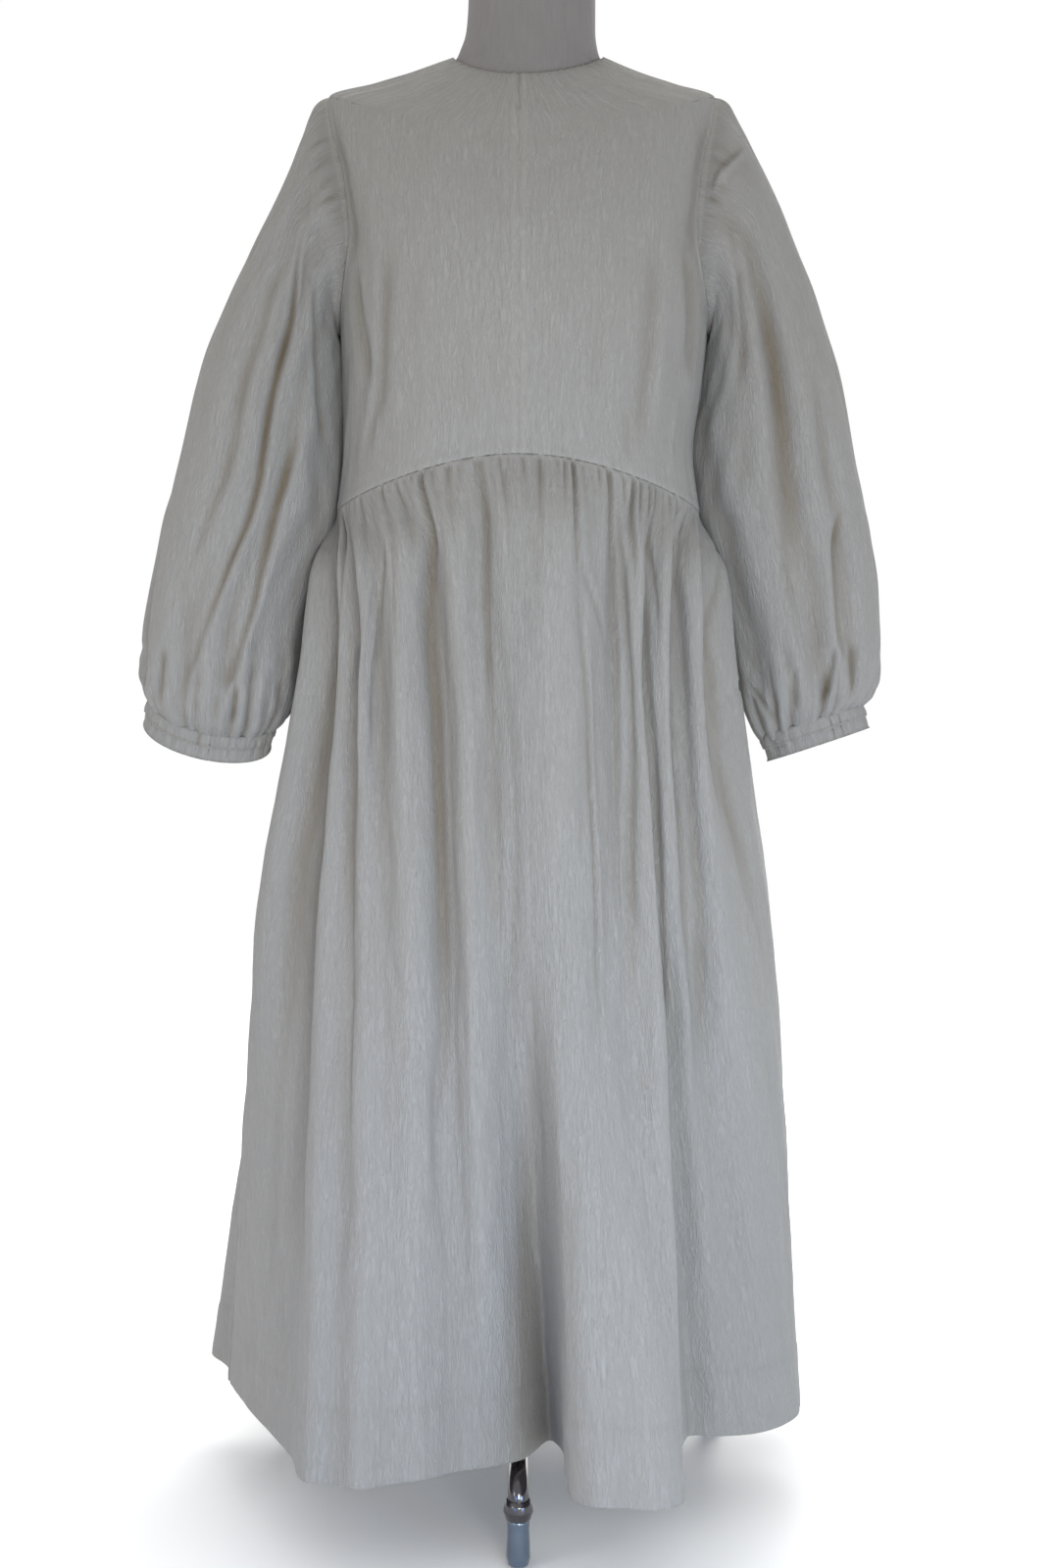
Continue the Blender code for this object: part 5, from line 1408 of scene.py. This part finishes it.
def form_rings():
    """The form's rings from below the waist up to the neck's top, each a level or leaning oval."""
    turn = np.arange(FORM_SIDES) * 2 * math.pi / FORM_SIDES
    rings = []
    for z, side, front, back in FORM_BASE:
        depth = np.where(np.cos(turn) > 0, front, back)
        rings.append(np.stack([side * np.sin(turn), -depth * np.cos(turn), np.full_like(turn, z)], -1))
    place = np.array(FORM_AT)[:, None] + 0 * turn[None]
    around = turn[None] + 0 * place
    body = bodice_surface(around, place, creased=False)
    normal = facing(grid_normals(body, closed=True), outward_of(around))
    table = columns(BODICE_COLUMNS, BODICE_RINGS)
    rings.extend(body - normal * smooth(table["at"], table["ease"], place)[..., None])
    for z_front, z_side, radius, x, y in FORM_NECK:
        z = z_side + (z_front - z_side) * np.maximum(np.cos(turn), 0) ** NECK_POWER
        rings.append(np.stack([x + radius * np.sin(turn), y - radius * np.cos(turn), z], -1))
    return np.stack(rings), turn


def make_form():
    """The form as one closed surface: its rings read smoothly upwards, with both ends drawn shut."""
    rings, turn = form_rings()
    knots = np.arange(len(rings))
    grid = smooth(knots, rings, np.linspace(0, len(rings) - 1, ROWS_TO_A_RING * len(rings)))
    normal = facing(grid_normals(grid, closed=True), outward_of(turn))
    height = grid[..., 2] - NECK_SEAM_Z
    on_neck = ease((grid[..., 2] - FORM_NECK[0][0]) / 0.004)
    seam = bell(height / NECK_SEAM_WIDTH)
    upright = bell((turn - NECK_SEAM_TURN) * 0.058 / NECK_SEAM_WIDTH) * ease(height / 0.002)
    grid = grid - normal * (NECK_SEAM_DEPTH * on_neck * np.maximum(seam, upright))[..., None]
    shrink = np.linspace(1, 0, 7)[1:, None, None]
    ends = []
    for ring in (grid[:1], grid[-1:]):
        middle = ring.mean(axis=1, keepdims=True)
        ends.append(middle + (ring - middle) * shrink)
    whole = np.concatenate([ends[0][::-1], grid, ends[1]])
    return grid_object("form_linen_body", whole, linen, whole - np.array([0, 0, 1.0]), closed=True)


form = make_form()
stands_for(form, "form_torso")

# %% The stand
POLE_RADIUS = 0.0125
HUB_RADIUS = 0.021
HUB_BOTTOM = 0.160
HUB_TOP = 0.215
HUB_CHAMFER = 0.003
LEG_RADIUS = 0.0083
LEG_ROWS = 90
LEG_SIDES = 28
TURNED_SIDES = 64
FOOT_OUT = 0.220
SEAM_GAP = 0.0003
LEG_TURNS = (("front", 0.0), ("left", -122.0), ("right", 122.0))
LEG_PATH = [
    (HUB_RADIUS + SEAM_GAP, 0.187), (0.040, 0.187), (0.066, 0.182), (0.102, 0.160), (0.128, 0.113),
    (0.147, 0.0755), (0.166, 0.0665), (0.190, 0.0655), (0.205, 0.0645), (0.2155, 0.0622), (0.2200, 0.0580),
    (0.2200, 0.0380),
]
FOOT_PROFILE = [(0.0, 0.0), (0.0062, 0.0), (0.0084, 0.0022), (0.0097, 0.008), (0.0094, 0.018),
                (0.0088, 0.030), (0.0092, 0.0360), (0.0086, 0.0377), (0.0, 0.0377)]
COLLAR_PROFILE = [(0.0084, 0.0381), (0.0100, 0.0380), (0.0120, 0.0445), (0.0112, 0.0500),
                  (0.0095, 0.0535), (0.0084, 0.0533)]


def turned_piece(name, profile, place, finish, rounding=0.0006):
    """A turned piece: a profile of radius and height, its corners rounded, carried round the upright."""
    profile = np.array(profile, float)
    corners = [profile[0]]
    for before, corner, after in zip(profile, profile[1:], profile[2:]):
        back, on = before - corner, after - corner
        reach = min(rounding, np.linalg.norm(back) / 3, np.linalg.norm(on) / 3)
        start = corner + back / np.linalg.norm(back) * reach
        end = corner + on / np.linalg.norm(on) * reach
        for share in (0.0, 0.33, 0.67, 1.0):
            corners.append((1 - share) ** 2 * start + 2 * share * (1 - share) * corner + share ** 2 * end)
    corners.append(profile[-1])
    path = np.array(corners)
    turn = np.arange(TURNED_SIDES) * 2 * math.pi / TURNED_SIDES
    grid = np.stack([path[:, :1] * np.sin(turn), -path[:, :1] * np.cos(turn),
                     np.repeat(path[:, 1:], TURNED_SIDES, axis=1)], -1)
    outward = grid - np.array([0, 0, profile[:, 1].mean()])
    return grid_object(name, grid + np.array(place), finish, outward, closed=True)


def leg_piece(name, degrees):
    """A leg: a tube of round section carried along the smooth curve through its path."""
    path = np.array(LEG_PATH)
    steps = np.append(0, np.cumsum(np.linalg.norm(np.diff(path, axis=0), axis=1)))
    fine = smooth(steps, path, np.linspace(0, steps[-1], LEG_ROWS))
    for _ in range(4):
        fine[1:-1] = (fine[:-2] + 2 * fine[1:-1] + fine[2:]) / 4
    way = np.gradient(fine, axis=0)
    way = way / np.linalg.norm(way, axis=1, keepdims=True)
    up = np.stack([-way[:, 1], way[:, 0]], -1)
    ring = np.arange(LEG_SIDES) * 2 * math.pi / LEG_SIDES
    shrink = np.concatenate([[0.0], np.full(len(fine), 1.0), [0.0]])[:, None]
    fine, up = repeated(fine, 1, 1), repeated(up, 1, 1)
    aside = LEG_RADIUS * np.cos(ring)[None] * shrink
    rise = LEG_RADIUS * np.sin(ring)[None] * shrink
    out = fine[:, :1] + rise * up[:, :1]
    z = fine[:, 1:] + rise * up[:, 1:]
    angle = math.radians(degrees)
    grid = np.stack([out * math.sin(angle) + aside * math.cos(angle),
                     -out * math.cos(angle) + aside * math.sin(angle), z], -1)
    middle = np.stack([fine[:, 0] * math.sin(angle), -fine[:, 0] * math.cos(angle), fine[:, 1]], -1)
    return grid_object(name, grid, enamel, grid - middle[:, None], closed=True)


pole_low, pole_high = HUB_TOP + SEAM_GAP, FORM_BASE[0][0] - SEAM_GAP
pole = turned_piece("pole_tube", [(0.0, pole_low), (POLE_RADIUS, pole_low), (POLE_RADIUS, pole_high),
                                  (0.0, pole_high)], (0, 0, 0), enamel)
stands_for(pole, "stand_pole")
narrow = HUB_RADIUS - HUB_CHAMFER
hub = turned_piece("hub_casting", [(0.0, HUB_BOTTOM), (narrow, HUB_BOTTOM),
                                   (HUB_RADIUS, HUB_BOTTOM + HUB_CHAMFER),
                                   (HUB_RADIUS, HUB_TOP - HUB_CHAMFER), (narrow, HUB_TOP),
                                   (0.0, HUB_TOP)], (0, 0, 0), enamel)
stands_for(hub, "stand_hub")
for where, degrees in LEG_TURNS:
    angle = math.radians(degrees)
    foot_place = (FOOT_OUT * math.sin(angle), -FOOT_OUT * math.cos(angle), 0.0)
    stands_for(leg_piece("leg_tube_" + where, degrees), "stand_leg_" + where)
    stands_for(turned_piece("foot_cup_" + where, FOOT_PROFILE, foot_place, foot_grey),
               "stand_foot_" + where)
    stands_for(turned_piece("foot_collar_" + where, COLLAR_PROFILE, foot_place, enamel),
               "stand_collar_" + where)

# %% The floor
FLOOR_HALF = 6.0
FLOOR_Z = -0.0005
floor_edges = [-FLOOR_HALF, FLOOR_HALF]
floor_grid = np.stack(np.meshgrid(floor_edges, floor_edges, indexing="ij"), -1)
floor_grid = np.concatenate([floor_grid, np.full((2, 2, 1), FLOOR_Z)], -1)
floor_piece = grid_object("studio_floor", floor_grid, floor_pale, np.broadcast_to([0, 0, 1.0], (2, 2, 3)))
